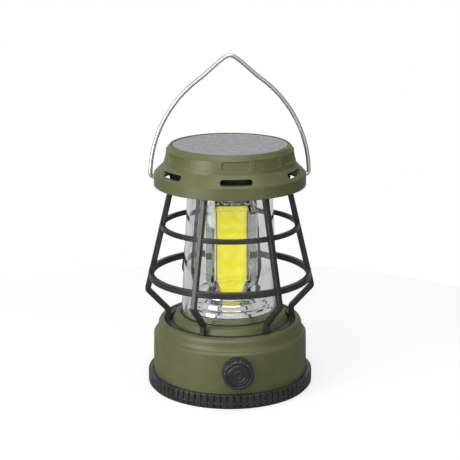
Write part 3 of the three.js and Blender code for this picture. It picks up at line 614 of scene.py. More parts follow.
def buildBaseShell():
    s = baseSizes
    low, high = extent("base_shell")
    lip, foot, top = high.x, low.z, high.z
    wall, crown, thick = s["wall"], s["crown"], s["thickness"]
    channelOuter, channelInner, channel = s["channelOuter"], s["channelInner"], s["channelFloor"]
    grooveOuter, grooveInner = s["grooveOuter"], s["grooveInner"]
    collar, seal = s["collarTop"], s["sealFloor"]
    deck, deckTop, post = s["deckRadius"], s["deckTop"], s["postHole"]
    inner = wall - thick
    outside = [
        (lip - 0.3 - thick, foot, 0.2), (lip - 0.35, foot, 0.3), (lip, foot + 0.8, 0.5),
        (lip - 0.5, foot + 1.7, 0.5), (wall + 2.5, foot + 2.2, 0.5), (wall + 1.8, foot + 4, 2.2),
        (wall + 0.5, foot + 6.8, 5), (wall, crown - 11.1, 0.5), (wall - 1.3, crown - 9.3, 0.9),
        (wall - 2.1, crown - 8.9, 0.2), (wall - 2.5, crown - 8.3, 0.2), (wall - 3.3, crown - 6.2, 1.6),
        (wall - 3.6, crown - 2.9, 1.2), (wall - 4.7, crown - 0.8, 1.2), (wall - 7, crown, 1.2),
    ]
    above = [
        (channelOuter, crown - 0.35, 0.4), (channelOuter, channel, 0.4), (channelInner, channel, 0.4),
        (channelInner, crown - 2.2, 0.8), (grooveOuter + 4.6, collar - 1.9, 0.3),
        (grooveOuter + 4.3, collar - 1.3, 0.3), (grooveOuter + 2.0, collar, 0.6), (grooveOuter, collar, 0.3),
        (grooveOuter, seal, 0.2), (grooveInner, seal, 0.2), (grooveInner, collar + 1.4, 0.3),
        (grooveInner - 0.5, collar + 1.9, 0.2), (grooveInner - 0.5, top - 1.2, 0.3),
        (grooveInner - 1.1, top, 0.4), (deck, top, 0.4), (deck, deckTop, 0.4), (post, deckTop, 0.3),
    ]
    inside = [
        (post, deckTop - thick, 0.2), (deck, deckTop - thick, 0.5), (grooveOuter + 1, seal - thick, 0.5),
        (channelInner - thick, channel, 0.8), (channelInner - thick, channel - thick, 0.8),
        (channelOuter + thick, channel - thick, 0.8), (inner, crown - 12, 1.5), (inner + 0.4, foot + 7.4, 3),
    ]
    shell = turnedRing("baseShell", outside + above + inside)
    floorTop = extent("bottom_cover")[1].z - 7.5
    bosses = []
    holes = []
    for at in screwPlaces("cover_screw"):
        bosses.append(rod(s["bossRadius"], floorTop, s["bossTop"], at, round24))
        holes.append(rod(s["screwHole"], 0, s["screwHoleTop"], at, round24))
    for at in screwPlaces("cage_screw"):
        holes.append(rod(s["cageScrewHole"], channel - thick - 1, channel + 1, at, round24))
    knob, port, pipe = middle("control_knob"), middle("charge_port"), middle("charge_indicator")
    holes.append(rod(s["shaftHole"], inner - 2, wall + 4, shift(0, 0, knob.z) @ towardsFront))
    mouth = {
        "half": s["mouthHalf"], "tall": s["mouthTall"], "corner": s["mouthCorner"], "height": port.z,
        "radius": wall, "angle": 180,
    }
    holes.append(slotPlug(mouth, lambda height: wall + 0.2, ((4, 0), (0.5, 0), (0, 0.35), (-2, 2))))
    pipeTurn = shift(pipe.x, 0, pipe.z) @ about("X", -90)
    holes.append(rod(s["pipeHole"], inner - 3, wall + 4, pipeTurn, round24))
    worked(shell, "UNION", bosses)
    worked(shell, "DIFFERENCE", holes)
    place(shell, olivePlastic, "base_shell")


coverSizes = {
    "ribs": 80, "ribDepth": 0.95, "floor": 3.2, "inner": 58.0, "sinkRadius": 3.2, "sinkDepth": 2.0,
    "screwHole": 1.6,
}
ribShape = [  # (share of a pitch, share of the depth) from the middle of a groove to the middle of a rib
    (-0.5, 1), (-0.44, 1), (-0.40, 0.8), (-0.365, 0.25), (-0.32, 0), (0, -0.06),
]


def buildBottomCover():
    s = coverSizes
    high = extent("bottom_cover")[1]
    outer, top = high.x, high.z
    across = ribShape + [(-share, depth) for share, depth in reversed(ribShape[1:-1])]
    pitch = 2 * math.pi / s["ribs"]
    depthAt = {pitch * (i + share): depth for i in range(s["ribs"]) for share, depth in across}
    points = [
        (0, 0, 0), (outer - 2.1, 0, 0), (outer - 1.75, 0.12, 0), (outer - 1.3, 0.9, 0),
        (outer - 1.1, 1.35, 0), (outer - 0.95, 1.5, 0.1), (outer - 0.45, 1.6, 0.6), (outer - 0.12, 1.9, 1),
        (outer, 2.4, 1),
        (outer, 10.2, 1), (outer - 0.1, 10.65, 1), (outer - 0.4, 10.92, 0.8), (outer - 0.9, top, 0.2),
        (s["inner"], top, 0), (s["inner"], s["floor"], 0), (0, s["floor"], 0),
    ]
    scaled = [(radius, height, share * s["ribDepth"]) for radius, height, share in points]
    cover = workpiece("bottomCover", lathe(scaled, list(depthAt), wave=depthAt.get, closed=False))
    sinks = []
    for at in screwPlaces("cover_screw"):
        sinks.append(rod(s["sinkRadius"], -1, s["sinkDepth"], at))
        sinks.append(rod(s["screwHole"], -1, s["floor"] + 1, at, round24))
    # a shallow ring round the middle of the underside, as moulded floors have against warping
    ring = workpiece("tool", lathe([(34, -1), (36, -1), (35.6, 0.4), (34.4, 0.4)], round192))
    worked(cover, "DIFFERENCE", sinks + [ring])
    place(cover, blackPlastic, "bottom_cover", sharp=40)


screwSizes = {
    "headTall": 1.4, "shank": 1.25, "cageShank": 1.05, "threadPitch": 0.9, "threadDepth": 0.22,
    "recessWide": 0.62, "recessTurn": 25,
}


def buildScrews():
    # pan heads with a cross recess, and rings for a thread round the shank
    s = screwSizes
    pitch = s["threadPitch"]
    for kind, count in screwCounts.items():
        shank = s["cageShank"] if kind == "cage_screw" else s["shank"]
        for i in range(1, count + 1):
            node = f"{kind}_{i}"
            low, high = extent(node)
            spot = middle(node)
            head = (high.x - low.x) / 2
            seat = low.z + s["headTall"]
            profile = [
                (0, low.z), (head * 0.62, low.z + 0.03), (head * 0.9, low.z + 0.35), (head, low.z + 0.85),
                (head, seat), (shank, seat), (shank, seat + 0.8),
            ]
            for k in range(int((high.z - seat - 2.6) / pitch)):
                start = seat + 1.0 + pitch * k
                profile += [(shank - s["threadDepth"], start), (shank, start + pitch / 2)]
            profile += [(shank - 0.3, high.z - 1.3), (0, high.z)]
            screw = workpiece(kind.replace("_s", "S") + str(i), lathe(profile, round24, closed=False))
            arms = []
            for turn in (s["recessTurn"], s["recessTurn"] + 90):
                arm = box(head * 1.15, s["recessWide"], 1.7)
                arms.append(workpiece("tool", arm, shift(0, 0, low.z) @ about("Z", turn)))
            worked(screw, "DIFFERENCE", arms)
            screw.data.transform(shift(spot.x, spot.y, 0))
            place(screw, screwSteel, node)


portSizes = {
    "flapHalf": 9.0, "flapTall": 10.0, "flapCorner": 4.4, "mouthHalf": 4.5, "mouthTall": 3.2,
    "mouthCorner": 1.6, "metal": 0.42, "tongueWide": 6.6, "tongueTall": 0.7,
}


def buildFlap():
    s = portSizes
    low, high = extent("port_cover")
    near, far = low.y, high.y
    port = middle("charge_port")
    slot = {
        "half": s["flapHalf"] - 0.35, "tall": s["flapTall"] - 0.7, "corner": s["flapCorner"],
        "height": port.z, "radius": near, "angle": 180,
    }
    level = lambda height: far
    body = slotPlug(slot, level, ((far - near, 0), (0.45, 0.35), (0.2, 0.25), (0.06, 0.05), (0, -0.35)))
    shape = bmesh.new()
    shape.from_mesh(body.data)
    bpy.data.objects.remove(body)
    cutFlat(shape, (0, 0, -1), -low.z)  # the anchor goes on below
    flap = workpiece("portCover", shape)
    dish = {"half": 5.6, "tall": 4.6, "corner": 2.2, "height": port.z + 0.1, "radius": near, "angle": 180}
    worked(flap, "DIFFERENCE", [slotPlug(dish, level, ((0.4, 0), (0.15, 0.2), (-1, 1.2)))])
    place(flap, blackRubber, "port_cover")


def buildFlapAnchor():
    low, high = extent("port_cover_anchor")
    outline = softened([
        (low.x, low.z, 0.6), (high.x, low.z, 0.6), (high.x, high.z, 0.2), (low.x, high.z, 0.2),
    ])
    mid = Vector(((low.x + high.x) / 2, (low.z + high.z) / 2))
    loops = []
    for y, inset in ((low.y, 0), (high.y - 0.3, 0), (high.y, 0.3)):
        loop = []
        for point in outline:
            away = point - mid
            loop.append((mid.x + away.x * (1 - inset / 4.5), y, mid.y + away.y * (1 - inset / 1.5)))
        loops.append(loop)
    place(workpiece("portCoverAnchor", capped(loops)), blackRubber, "port_cover_anchor")


def buildSocket():
    s = portSizes
    low, high = extent("charge_port")
    centre = middle("charge_port")
    walls = (  # (depth along Y, growth): out along the outside, then back along the inside
        (low.y, 0), (high.y - 0.15, 0), (high.y, -0.15), (high.y, -0.3), (high.y - 0.2, -s["metal"]),
        (low.y + 1, -s["metal"]),
    )
    loops = []
    for y, growth in walls:
        columns = slotColumns(s["mouthHalf"], s["mouthTall"] / 2, s["mouthCorner"] - 0.01, growth)
        above = [(x, y, centre.z + h) for x, h in reversed(columns)]
        loops.append([(x, y, centre.z - h) for x, h in columns] + above)
    socket = workpiece("chargePort", capped(loops))
    tongue = box(s["tongueWide"], high.y - low.y - 1, s["tongueTall"])
    worked(socket, "UNION", [workpiece("tool", tongue, shift(0, centre.y - 0.2, centre.z))])
    place(socket, screwSteel, "charge_port")


def buildLightPipe():
    low, high = extent("charge_indicator")
    centre = middle("charge_indicator")
    radius = (high.z - low.z) / 2
    profile = [
        (0, low.y), (radius, low.y), (radius, high.y - 0.7), (radius * 0.85, high.y - 0.3),
        (radius * 0.5, high.y - 0.06), (0, high.y),
    ]
    turn = shift(centre.x, 0, centre.z) @ about("X", -90)
    pipe = workpiece("chargeIndicator", lathe(profile, round24, closed=False), turn)
    place(pipe, lensPlastic, "charge_indicator")


buildBaseShell()
buildBottomCover()
buildScrews()
buildFlap()
buildFlapAnchor()
buildSocket()
buildLightPipe()
print("base built")


knobSizes = {
    "scallops": 10, "scallopDepth": 0.9, "faceRadius": 8.3, "faceDepth": 1.2, "pocket": 6.8,
    "pocketDepth": 2.3, "bore": 2.8, "boreDepth": 7.4,
}


def buildKnob():
    s = knobSizes
    low, high = extent("control_knob")
    radius = (high.x - low.x) / 2
    length = high.y - low.y
    bore, boreDepth, pocket, face = s["bore"], s["boreDepth"], s["pocket"], s["faceRadius"]
    wave = lambda angle: s["scallopDepth"] * (1 - abs(math.sin(s["scallops"] * angle / 2))) ** 3
    points = [
        (0, boreDepth, 0), (bore, boreDepth, 0), (bore, s["pocketDepth"], 0), (pocket, s["pocketDepth"], 0),
        (pocket, 0, 0), (radius - 1.1, 0, 0.3), (radius - 0.6, 0.12, 0.8), (radius - 0.25, 0.5, 1),
        (radius - 0.05, 1.1, 1), (radius, 2, 1), (radius - 0.12, length - 1.9, 1),
        (radius - 0.22, length - 1.1, 1), (radius - 0.5, length - 0.5, 1), (radius - 0.95, length - 0.14, 1),
        (radius - 1.5, length, 0.9), (face + 0.55, length, 0.1), (face + 0.2, length - 0.12, 0),
        (face, length - 0.4, 0), (face, length - s["faceDepth"], 0), (0, length - s["faceDepth"], 0),
    ]
    turn = shift(0, high.y, middle("control_knob").z) @ towardsFront
    knob = workpiece("controlKnob", lathe(points, evenAngles(400), wave=wave, closed=False), turn)
    place(knob, blackPlastic, "control_knob", sharp=42)
    low, high = extent("knob_face")
    depth = high.y - low.y
    rim = (high.x - low.x) / 2
    profile = [
        (0, 0, 0), (rim, 0, 0.1), (rim, depth - 0.35, 0.15), (rim - 0.5, depth, 0.2), (rim - 1.1, depth, 0.1),
        (rim - 1.3, depth - 0.22, 0.1), (rim - 1.5, depth, 0.1), (4.5, depth - 0.1, 0.1),
        (4.2, depth - 0.4, 0.1), (3.8, depth - 0.4, 0.1), (3.5, depth - 0.05, 0.2), (1.3, depth - 0.12, 0.1),
        (1.1, depth - 0.3, 0.1), (0, depth - 0.34, 0),
    ]
    turn = shift(0, high.y, middle("knob_face").z) @ towardsFront
    place(turnedSolid("knobFace", profile, turn, evenAngles(128)), blackPlastic, "knob_face", sharp=50)


buildKnob()
print("knob built")


cageSizes = {
    "foot": 46.2, "bulge": 61.3, "bulgeHeight": 73.5, "knee": 57.5, "head": 42.2, "ribs": 6, "ribWide": 3.6,
    "ribThick": 4.2, "ringWide": 3.8, "ringTall": 3.2, "lugRadius": 3.3, "capScrewHole": 1.6,
    "footScrewHole": 1.4,
    "hoops": ((84.7, 3.6, 4.6), (121.6, 3.0, 3.5)),  # height, depth, tall
}


def ribRoute(low, high):
    s = cageSizes
    corners = [
        (s["foot"], low + 0.8), (s["foot"], s["knee"], 2.4), (s["bulge"], s["bulgeHeight"], 2.6),
        (s["head"], high - 2.2),
    ]
    return softened(corners, closed=False)


def ribSection(wide, thick, corner, steps=3):
    points = []
    for sx, sy, first in ((1, 1, 0), (-1, 1, 90), (-1, -1, 180), (1, -1, 270)):
        for k in range(steps + 1):
            angle = math.radians(first + 90 * k / steps)
            points.append((sx * (wide / 2 - corner) + corner * math.cos(angle),
                           sy * (thick / 2 - corner) + corner * math.sin(angle)))
    return points


def buildCage():
    s = cageSizes
    low, high = extent("cage")
    route = ribRoute(low.z, high.z)
    section = ribSection(s["ribWide"], s["ribThick"], 0.55)
    loops = []
    for i, spot in enumerate(route):
        before = (spot - route[i - 1]).normalized() if i else None
        after = (route[i + 1] - spot).normalized() if i + 1 < len(route) else None
        along = ((before or after) + (after or before)).normalized()
        out = Vector((along.y, -along.x))
        loops.append([(x, -(spot.x + out.x * t), spot.y + out.y * t) for x, t in section])
    ribs = []
    for i in range(s["ribs"]):
        ribs.append(workpiece("rib", capped(loops), about("Z", 30 + 360 * i / s["ribs"])))
    ringWide, ringTall = s["ringWide"], s["ringTall"]
    bands = [
        (s["foot"], low.z + ringTall / 2, ringWide, ringTall),
        (s["head"], high.z - ringTall / 2, ringWide, ringTall),
    ]
    for height, depth, tall in s["hoops"]:
        share = (height - s["bulgeHeight"]) / (high.z - 2.2 - s["bulgeHeight"])
        bands.append((s["bulge"] + (s["head"] - s["bulge"]) * share, height, depth, tall))
    rings = []
    for radius, height, depth, tall in bands:
        outline = [(radius + x, height + y) for x, y in ribSection(depth, tall, 0.5)]
        rings.append(workpiece("band", lathe(outline, round192)))
    lugs = []
    holes = []
    lug = high.z - ringTall + 1.2
    for at in screwPlaces("cap_screw"):
        lugs.append(rod(s["lugRadius"], lug, high.z, at))
        spot = at.translation.xy
        angle = math.degrees(math.atan2(spot.x, -spot.y))
        arm = box(2 * s["lugRadius"], s["head"] - spot.length, high.z - lug)
        centre = shift(0, -(spot.length + s["head"]) / 2, (high.z + lug) / 2)
        lugs.append(workpiece("arm", arm, about("Z", angle) @ centre))
        holes.append(rod(s["capScrewHole"], high.z - 4, high.z + 1, at, round24))
    for at in screwPlaces("cage_screw"):
        holes.append(rod(s["footScrewHole"], low.z - 1, low.z + 4, at, round24))
    cage = rings[0]
    worked(cage, "UNION", ribs + rings[1:] + lugs)
    worked(cage, "DIFFERENCE", holes)
    cage.name = "cage.moulding"
    place(cage, blackPlastic, "cage")


buildCage()
print("cage built")


lampSizes = {
    "chimneyWall": 2.0, "sealWall": 1.6, "lensHalf": 19.0, "lensFace": 12.2, "lensBevelTall": 10.8,
    "lensBevelDeep": 4.0, "lensTopBevel": 3.0, "lensTopWall": 1.4, "cavityDeep": 13.4, "cavityWide": 11.5,
    "panelHalf": 11.0, "tailHalf": 7.6, "creamEdge": 0.5, "coreHalf": 10.0, "coreGrooves": 5, "post": 7.4,
    "beads": 20, "beadRadius": 0.85, "beadCircle": 16.4,
}


def buildChimney():
    s = lampSizes
    low, high = extent("chimney")
    foot = high.x
    head = extent("upper_reflector")[1].x + 3.2
    wall = s["chimneyWall"]
    profile = [
        (foot - wall, low.z, 0.3), (foot, low.z, 0.3), (head, high.z, 0.4), (head - wall, high.z, 0.4),
    ]
    place(turnedRing("chimneyTube", profile), chimneyPlastic, "chimney")
    for node in ("chimney_seal_lower", "chimney_seal_upper"):
        low, high = extent(node)
        outer = high.x
        inner = outer - s["sealWall"]
        profile = [(inner, low.z, 0.4), (outer, low.z, 0.4), (outer, high.z, 0.4), (inner, high.z, 0.4)]
        place(turnedRing(node.replace("_", "."), profile), blackRubber, node)


def buildReflectors():
    s = lampSizes
    low, high = extent("lower_reflector")
    seat, foot, outer = high.z, low.z, high.x
    hole = s["post"] + 0.3
    top = [
        (hole, seat, 0.2), (23.0, seat, 0.5), (23.4, seat - 0.5, 0.2), (23.9, seat - 3.0, 0.5),
        (24.6, seat - 3.5, 0.3), (27.9, seat - 5.2, 0.8), (28.8, seat - 6.2, 0.6), (29.2, seat - 8.8, 0.5),
        (30.0, seat - 9.6, 0.3), (31.0, seat - 10.1, 0.5), (outer - 0.5, seat - 11.4, 0.4),
        (outer, foot + 0.6, 0.3), (outer, foot, 0.2),
    ]
    under = [
        (outer - 1, foot, 0.2), (28.2, seat - 9.8, 0.4), (22.4, seat - 4.4, 0.4), (21.8, seat - 1, 0.4),
        (hole, seat - 1, 0.2),
    ]
    place(turnedRing("lowerReflector", top + under), chromedPlastic, "lower_reflector", sharp=50)
    low, high = extent("upper_reflector")
    bottom, top, rim = low.z, high.z, high.x
    profile = [
        (0, bottom, 0), (15.2, bottom, 0.3), (16.2, bottom + 0.5, 0.3), (17.4, bottom + 2.4, 1.0),
        (rim - 4.2, top - 5.6, 4), (rim - 0.8, top - 3.4, 1), (rim, top - 2.6, 0.4), (rim, top, 0.2),
        (0, top, 0),
    ]
    bowl = turnedSolid("upperReflector", profile)
    beads = []
    for k in range(s["beads"]):
        bead = bmesh.new()
        bmesh.ops.create_uvsphere(bead, u_segments=16, v_segments=10, radius=s["beadRadius"])
        turn = about("Z", 360 * k / s["beads"]) @ shift(0, -s["beadCircle"], bottom + 1.0)
        beads.append(workpiece("tool", bead, turn))
    worked(bowl, "UNION", beads)
    place(bowl, chromedPlastic, "upper_reflector", sharp=50)


def buildLens():
    s = lampSizes
    low, high = extent("light_lens")
    half, face = s["lensHalf"], s["lensFace"]
    tall = high.z - low.z
    bevelTop = -tall / 2 + s["lensBevelTall"]
    shoulder = tall / 2 - s["lensTopBevel"]
    block = box(2 * half, 2 * half, tall)
    flats = (  # (slope, a point on the flat) on one side of the block
        ((1, -1, 0), (half, -face, 0)),  # the upright corner
        ((0, -s["lensBevelTall"], -s["lensBevelDeep"]), (0, -half, bevelTop)),
        ((0, -1, 1), (0, -half, shoulder)),
        ((1, -1, -1.25), (half, -face, bevelTop - 2.2)),  # the corner facets
        ((1, -1, 1.5), (half, -face, shoulder - 1.0)),
    )
    for k in range(4):
        for slope, point in flats:
            normal = Vector(slope).normalized()
            cutFlat(block, about("Z", 90 * k) @ normal, normal.dot(Vector(point)))
    bmesh.ops.remove_doubles(block, verts=list(block.verts), dist=0.001)
    bmesh.ops.bevel(block, geom=list(block.edges), offset=0.45, segments=2, profile=0.6, affect="EDGES")
    lens = workpiece("lightLens", block, shift(0, 0, (high.z + low.z) / 2))
    top = high.z - s["lensTopWall"]
    depth = top - low.z + 2
    room = box(2 * s["cavityWide"], 2 * s["cavityDeep"], depth)
    worked(lens, "DIFFERENCE", [workpiece("tool", room, shift(0, 0, top - depth / 2))])
    place(lens, lensPlastic, "light_lens", sharp=20)
    lens.data.materials.append(lensShadedSide)
    lens.data.materials.append(lensHighlightEdge)
    narrow = 0.008  # area against the outline's length squared
    corners = lens.data.vertices
    for facet in lens.data.polygons:
        outline = sum((corners[a].co - corners[b].co).length for a, b in facet.edge_keys)
        if facet.area < narrow * outline ** 2:  # the narrow faces along the edges get the pale copy: painted highlight lines
            facet.material_index = 2
        elif min(abs(facet.normal.x), abs(facet.normal.y)) > 0.3:  # the upright corners and corner facets get the darker copy: painted shade
            facet.material_index = 1


def panelLoop(y, inset, low, top):
    # the outline of a light panel, narrower below its shoulders
    s = lampSizes
    shoulder = low + s["lensBevelTall"] - 0.4
    wide, tail = s["panelHalf"] - inset, s["tailHalf"] - inset
    outline = [
        (-tail, low + inset, 0.3), (tail, low + inset, 0.3), (wide, shoulder, 0.6), (wide, top - inset, 0.3),
        (-wide, top - inset, 0.3), (-wide, shoulder, 0.6),
    ]
    return [(point.x, y, point.y) for point in softened(outline)]


def buildPanels():
    edge = lampSizes["creamEdge"]
    low, high = extent("led_panel_front")
    face, back = low.y, high.y
    boardLayers = ((back, 0), (face + 0.5, 0), (face + 0.4, 0.1), (face + 0.4, edge + 0.3))
    padLayers = (
        (face + 0.4, edge), (face + 0.15, edge + 0.03), (face + 0.03, edge + 0.15), (face, edge + 0.4),
    )
    for node, turn in (("led_panel_front", 0), ("led_panel_rear", 180)):
        side = about("Z", turn)
        board = [panelLoop(y, inset, low.z, high.z) for y, inset in boardLayers]
        name = node.replace("led_panel_", "panelBoard.")
        place(workpiece(name, capped(board), side), creamBoard, node)
        pad = [panelLoop(y, inset, low.z, high.z) for y, inset in padLayers]
        name = node.replace("led_panel_", "panelPhosphor.")
        place(workpiece(name, capped(pad), side), phosphor, node, replacing=False)


def buildCore():
    s = lampSizes
    low, high = extent("led_core")
    half, depth, grooves = s["coreHalf"], high.y, s["coreGrooves"]
    right = []
    for k in range(grooves):
        y = -depth + 2.4 + k * (2 * depth - 4.8) / (grooves - 1)
        right += [(half, y - 1.1), (half - 1.3, y - 0.9), (half - 1.3, y + 0.9), (half, y + 1.1)]
    outline = [(half, -depth)] + right + [(half, depth)]
    outline += [(-x, y) for x, y in reversed(outline)]
    foot = extent("light_lens")[0].z + 0.4
    loops = [[(x, y, z) for x, y in outline] for z in (foot, high.z)]
    bar = workpiece("ledCore", capped(loops))
    wedges = []
    for side in (-1, 1):
        corners = [(6.6, foot - 1), (11.5, foot - 1), (11.5, foot + 14)]
        loops = [[(side * x, y, z) for x, z in corners] for y in (-depth - 1, depth + 1)]
        wedges.append(workpiece("tool", capped(loops)))
    worked(bar, "DIFFERENCE", wedges)
    worked(bar, "UNION", [rod(s["post"], low.z, foot + 1)])
    place(bar, aluminium, "led_core")


buildChimney()
buildReflectors()
buildLens()
buildPanels()
buildCore()
print("lamp built")


capSizes = {
    "wall": 2.2, "skirt": 9.1, "shoulder": 7.0, "neck": 48.2, "rim": 43.8, "rimWidth": 1.3,
    "ledgeInner": 33.5, "bossRadius": 3.2, "screwHole": 1.6, "pivotHole": 2.0, "lip": 31.3, "lipWall": 1.6,
    "slots": 6,  # how often each of the next three is cut round the cap; a layer is (depth, growth)
    "vent": {
        "half": 11.25, "tall": 3.7, "corner": 1.85, "radius": 50, "rise": 11.95,
        "layers": ((6, 0), (0.62, 0), (0.36, 0.08), (0.14, 0.26), (0, 0.52), (-1.2, 1.9)),
    },
    "recess": {
        "half": 9.6, "tall": 5.4, "corner": 1.6, "radius": 47, "rise": 22.6,
        "layers": ((0.8, 0), (0.7, 0.06), (0.12, 0.3), (-0.1, 0.6), (-1.5, 2.4)),
    },
    "pad": {
        "half": 10.5, "tall": 6.6, "corner": 1.2, "radius": 47, "rise": 22.6,
        "layers": ((0.35, 0), (0.28, 0.1), (0, 0.3), (-1.5, 2.0)),
    },
}


def buildCap():
    s = capSizes
    low, high = extent("cap_shell")
    bottom, top, outer = low.z, high.z, high.x
    thick, neck, rim = s["wall"], s["neck"], s["rim"]
    skirtTop = bottom + s["skirt"]
    shoulderTop = skirtTop + s["shoulder"]
    ledge = extent("solar_cell")[0].z - 0.3
    outside = [
        (outer - thick, bottom, 0.4), (outer, bottom, 0.5), (outer, skirtTop - 0.5, 0.15),
        (outer - 0.28, skirtTop - 0.15, 0.2), (outer - 0.6, skirtTop + 0.3, 0.7),
        (outer - s["shoulder"] - 0.1, shoulderTop - 0.1, 0.7), (neck, shoulderTop + 0.4, 0.6),
        (neck - 0.9, shoulderTop + 6, 5), (neck - 1.6, top - 3.6, 0.6), (rim + 0.7, top - 0.85, 0.5),
        (rim - 0.4, top, 0.4),
    ]
    inside = [
        (rim - s["rimWidth"], top - 0.15, 0.2), (rim - s["rimWidth"], ledge, 0.2),
        (s["ledgeInner"], ledge, 0.3), (s["ledgeInner"], ledge - thick, 0.3),
        (rim + 2 - thick, ledge - thick, 1), (neck - thick, shoulderTop, 0.3),
        (neck - thick, shoulderTop - 0.6, 0.3),
        (outer - thick, skirtTop - 1, 1),
    ]
    shell = turnedRing("capShell", outside + inside)

    def onShoulder(height):
        return outer - 0.6 - (height - skirtTop - 0.3) * (s["shoulder"] - 0.5) / (s["shoulder"] - 0.4)

    def onNeck(height):
        return neck - 0.9 - (height - shoulderTop - 6) * 0.7 / (top - 9.6 - shoulderTop)

    plateTop = extent("cage")[1].z + 0.3 + thick
    bosses = []
    holes = []
    for at in screwPlaces("cap_screw"):
        bosses.append(rod(s["bossRadius"], plateTop + 0.3, ledge - thick + 0.5, at, round24))
        holes.append(rod(s["screwHole"], plateTop, plateTop + 9, at, round24))
    for k in range(s["slots"]):
        for kind, surface, turn in (("vent", onShoulder, 0), ("recess", onNeck, 0), ("pad", onNeck, 30)):
            cut = s[kind]
            slot = {**cut, "height": bottom + cut["rise"], "angle": 360 * k / s["slots"] + turn}
            holes.append(slotPlug(slot, surface, cut["layers"]))
    for side in (90, -90):
        turn = about("Z", side) @ shift(0, 0, pivotHeight) @ towardsFront
        holes.append(rod(s["pivotHole"], outer - thick - 2, outer + 2, turn))
        dimple = [(0, outer - 0.35), (3.0, outer - 0.35), (4.4, outer + 1), (0, outer + 1)]
        holes.append(workpiece("tool", lathe(dimple, round48, closed=False), turn))
    worked(shell, "UNION", bosses)
    worked(shell, "DIFFERENCE", holes)
    place(shell, olivePlastic, "cap_shell")


def buildCapBase():
    s = capSizes
    low, high = extent("cap_base")
    plate = extent("cage")[1].z + 0.3
    thick, outer, lip = s["wall"], high.x, s["lip"]
    collar = lip + s["lipWall"]
    profile = [
        (0, plate, 0), (lip, plate, 0.3), (lip, low.z, 0.3), (collar, low.z, 0.4), (collar, plate, 0.5),
        (outer, plate, 0.8), (outer, high.z, 0.4), (outer - thick, high.z, 0.4),
        (outer - thick, plate + thick, 0.5), (0, plate + thick, 0),
    ]
    inner = turnedSolid("capBase", profile)
    places = screwPlaces("cap_screw")
    holes = [rod(s["screwHole"], plate - 1, plate + thick + 1, at, round24) for at in places]
    worked(inner, "DIFFERENCE", holes)
    place(inner, blackPlastic, "cap_base")


solarSizes = {"strips": 7, "stripGap": 0.7, "margin": 2.2, "stripRaise": 0.25}


def buildSolar():
    s = solarSizes
    low, high = extent("solar_cell")
    radius = high.x
    bed = high.z - s["stripRaise"]
    profile = [(0, low.z, 0), (radius, low.z, 0.2), (radius, bed, 0.2), (0, bed, 0)]
    place(turnedSolid("solarBacking", profile), cellBacking, "solar_cell")
    reach = radius - s["margin"]
    pitch = 2 * reach / s["strips"]
    strips = bmesh.new()
    for k in range(s["strips"]):
        near = -reach + k * pitch + s["stripGap"] / 2
        far = near + pitch - s["stripGap"]
        ys = [near + (far - near) * j / 8 for j in range(9)]
        edge = [(math.sqrt(max(reach ** 2 - y ** 2, 1)), y) for y in ys]
        outline = edge + [(-x, y) for x, y in reversed(edge)]
        strip = capped([[(x, y, z) for x, y in outline] for z in (bed, high.z)])
        bmesh.ops.recalc_face_normals(strip, faces=list(strip.faces))
        mesh = bpy.data.meshes.new("strip")
        strip.to_mesh(mesh)
        strip.free()
        strips.from_mesh(mesh)
        bpy.data.meshes.remove(mesh)
    place(workpiece("solarStrips", strips), silicon, "solar_cell", replacing=False)
    low, high = extent("solar_cover")
    profile = [
        (0, low.z, 0), (radius, low.z, 0.15), (radius, high.z - 0.1, 0.3), (radius - 1.2, high.z, 0.6),
        (0, high.z, 0),
    ]
    place(turnedSolid("solarCover", profile), coverResin, "solar_cover")


buildCap()
buildCapBase()
buildSolar()
print("cap built")


bailSizes = {
    "wire": 1.5, "sideArc": 88.0, "arcDegrees": 54, "corner": 3.0, "inside": 49.9, "rise": 9.0,
    "crownReach": 4.8,
}


def bailRoute():
    # out through the pivot hole, round a corner, up a wide arc, then over into the crown
    s = bailSizes
    low, high = extent("bail")
    half = (high.x - low.x) / 2 - s["wire"]
    peak = high.z - s["wire"]
    arc = s["sideArc"]
    last = math.radians(s["arcDegrees"])
    first = math.asin(s["corner"] / arc)

    def onArc(angle):
        return Vector((half - arc + arc * math.cos(angle), pivotHeight + arc * math.sin(angle)))

    bendStart = Vector((half - s["corner"], pivotHeight))
    side = [Vector((s["inside"], pivotHeight)), bendStart]
    side += curve([bendStart, Vector((half, pivotHeight)), onArc(first)], 6)
    side += [onArc(first + (last - first) * k / 40) for k in range(1, 41)]
    lead = side[-1] + s["rise"] * Vector((-math.sin(last), math.cos(last)))
    side += curve([side[-1], lead, Vector((s["crownReach"], peak)), Vector((0, peak))], 24)
    return side + [Vector((-point.x, point.y)) for point in reversed(side[:-1])]


def buildBail():
    wire = bailSizes["wire"]
    section = [(wire * math.cos(angle), wire * math.sin(angle)) for angle in round24]
    route = bailRoute()
    loops = []
    for i, spot in enumerate(route):
        before = route[max(i - 1, 0)]
        after = route[min(i + 1, len(route) - 1)]
        along = (after - before).normalized()
        loops.append([(spot.x + along.y * across, y, spot.y - along.x * across) for across, y in section])
    place(workpiece("bailWire", capped(loops)), brightWire, "bail", sharp=50)


buildBail()
print("bail built")


def buildCells():
    for i in (1, 2):
        node = f"battery_cell_{i}"
        low, high = extent(node)
        spot = middle(node)
        radius = (high.z - low.z) / 2
        first, last = low.x, high.x
        profile = [
            (0, first, 0), (radius - 0.3, first, 0.3), (radius, first + 0.5, 0.3), (radius, last - 2.6, 0.3),
            (radius - 0.35, last - 2.2, 0.2), (radius - 0.1, last - 1.5, 0.3),
            (radius - 1.2, last - 1.2, 0.3), (3.1, last - 1.2, 0.2), (2.9, last, 0.4), (0, last, 0),
        ]
        turn = shift(0, spot.y, spot.z) @ about("Y", 90)
        place(turnedSolid(f"batteryCell.{i}", profile, turn, round48), batteryWrap, node)


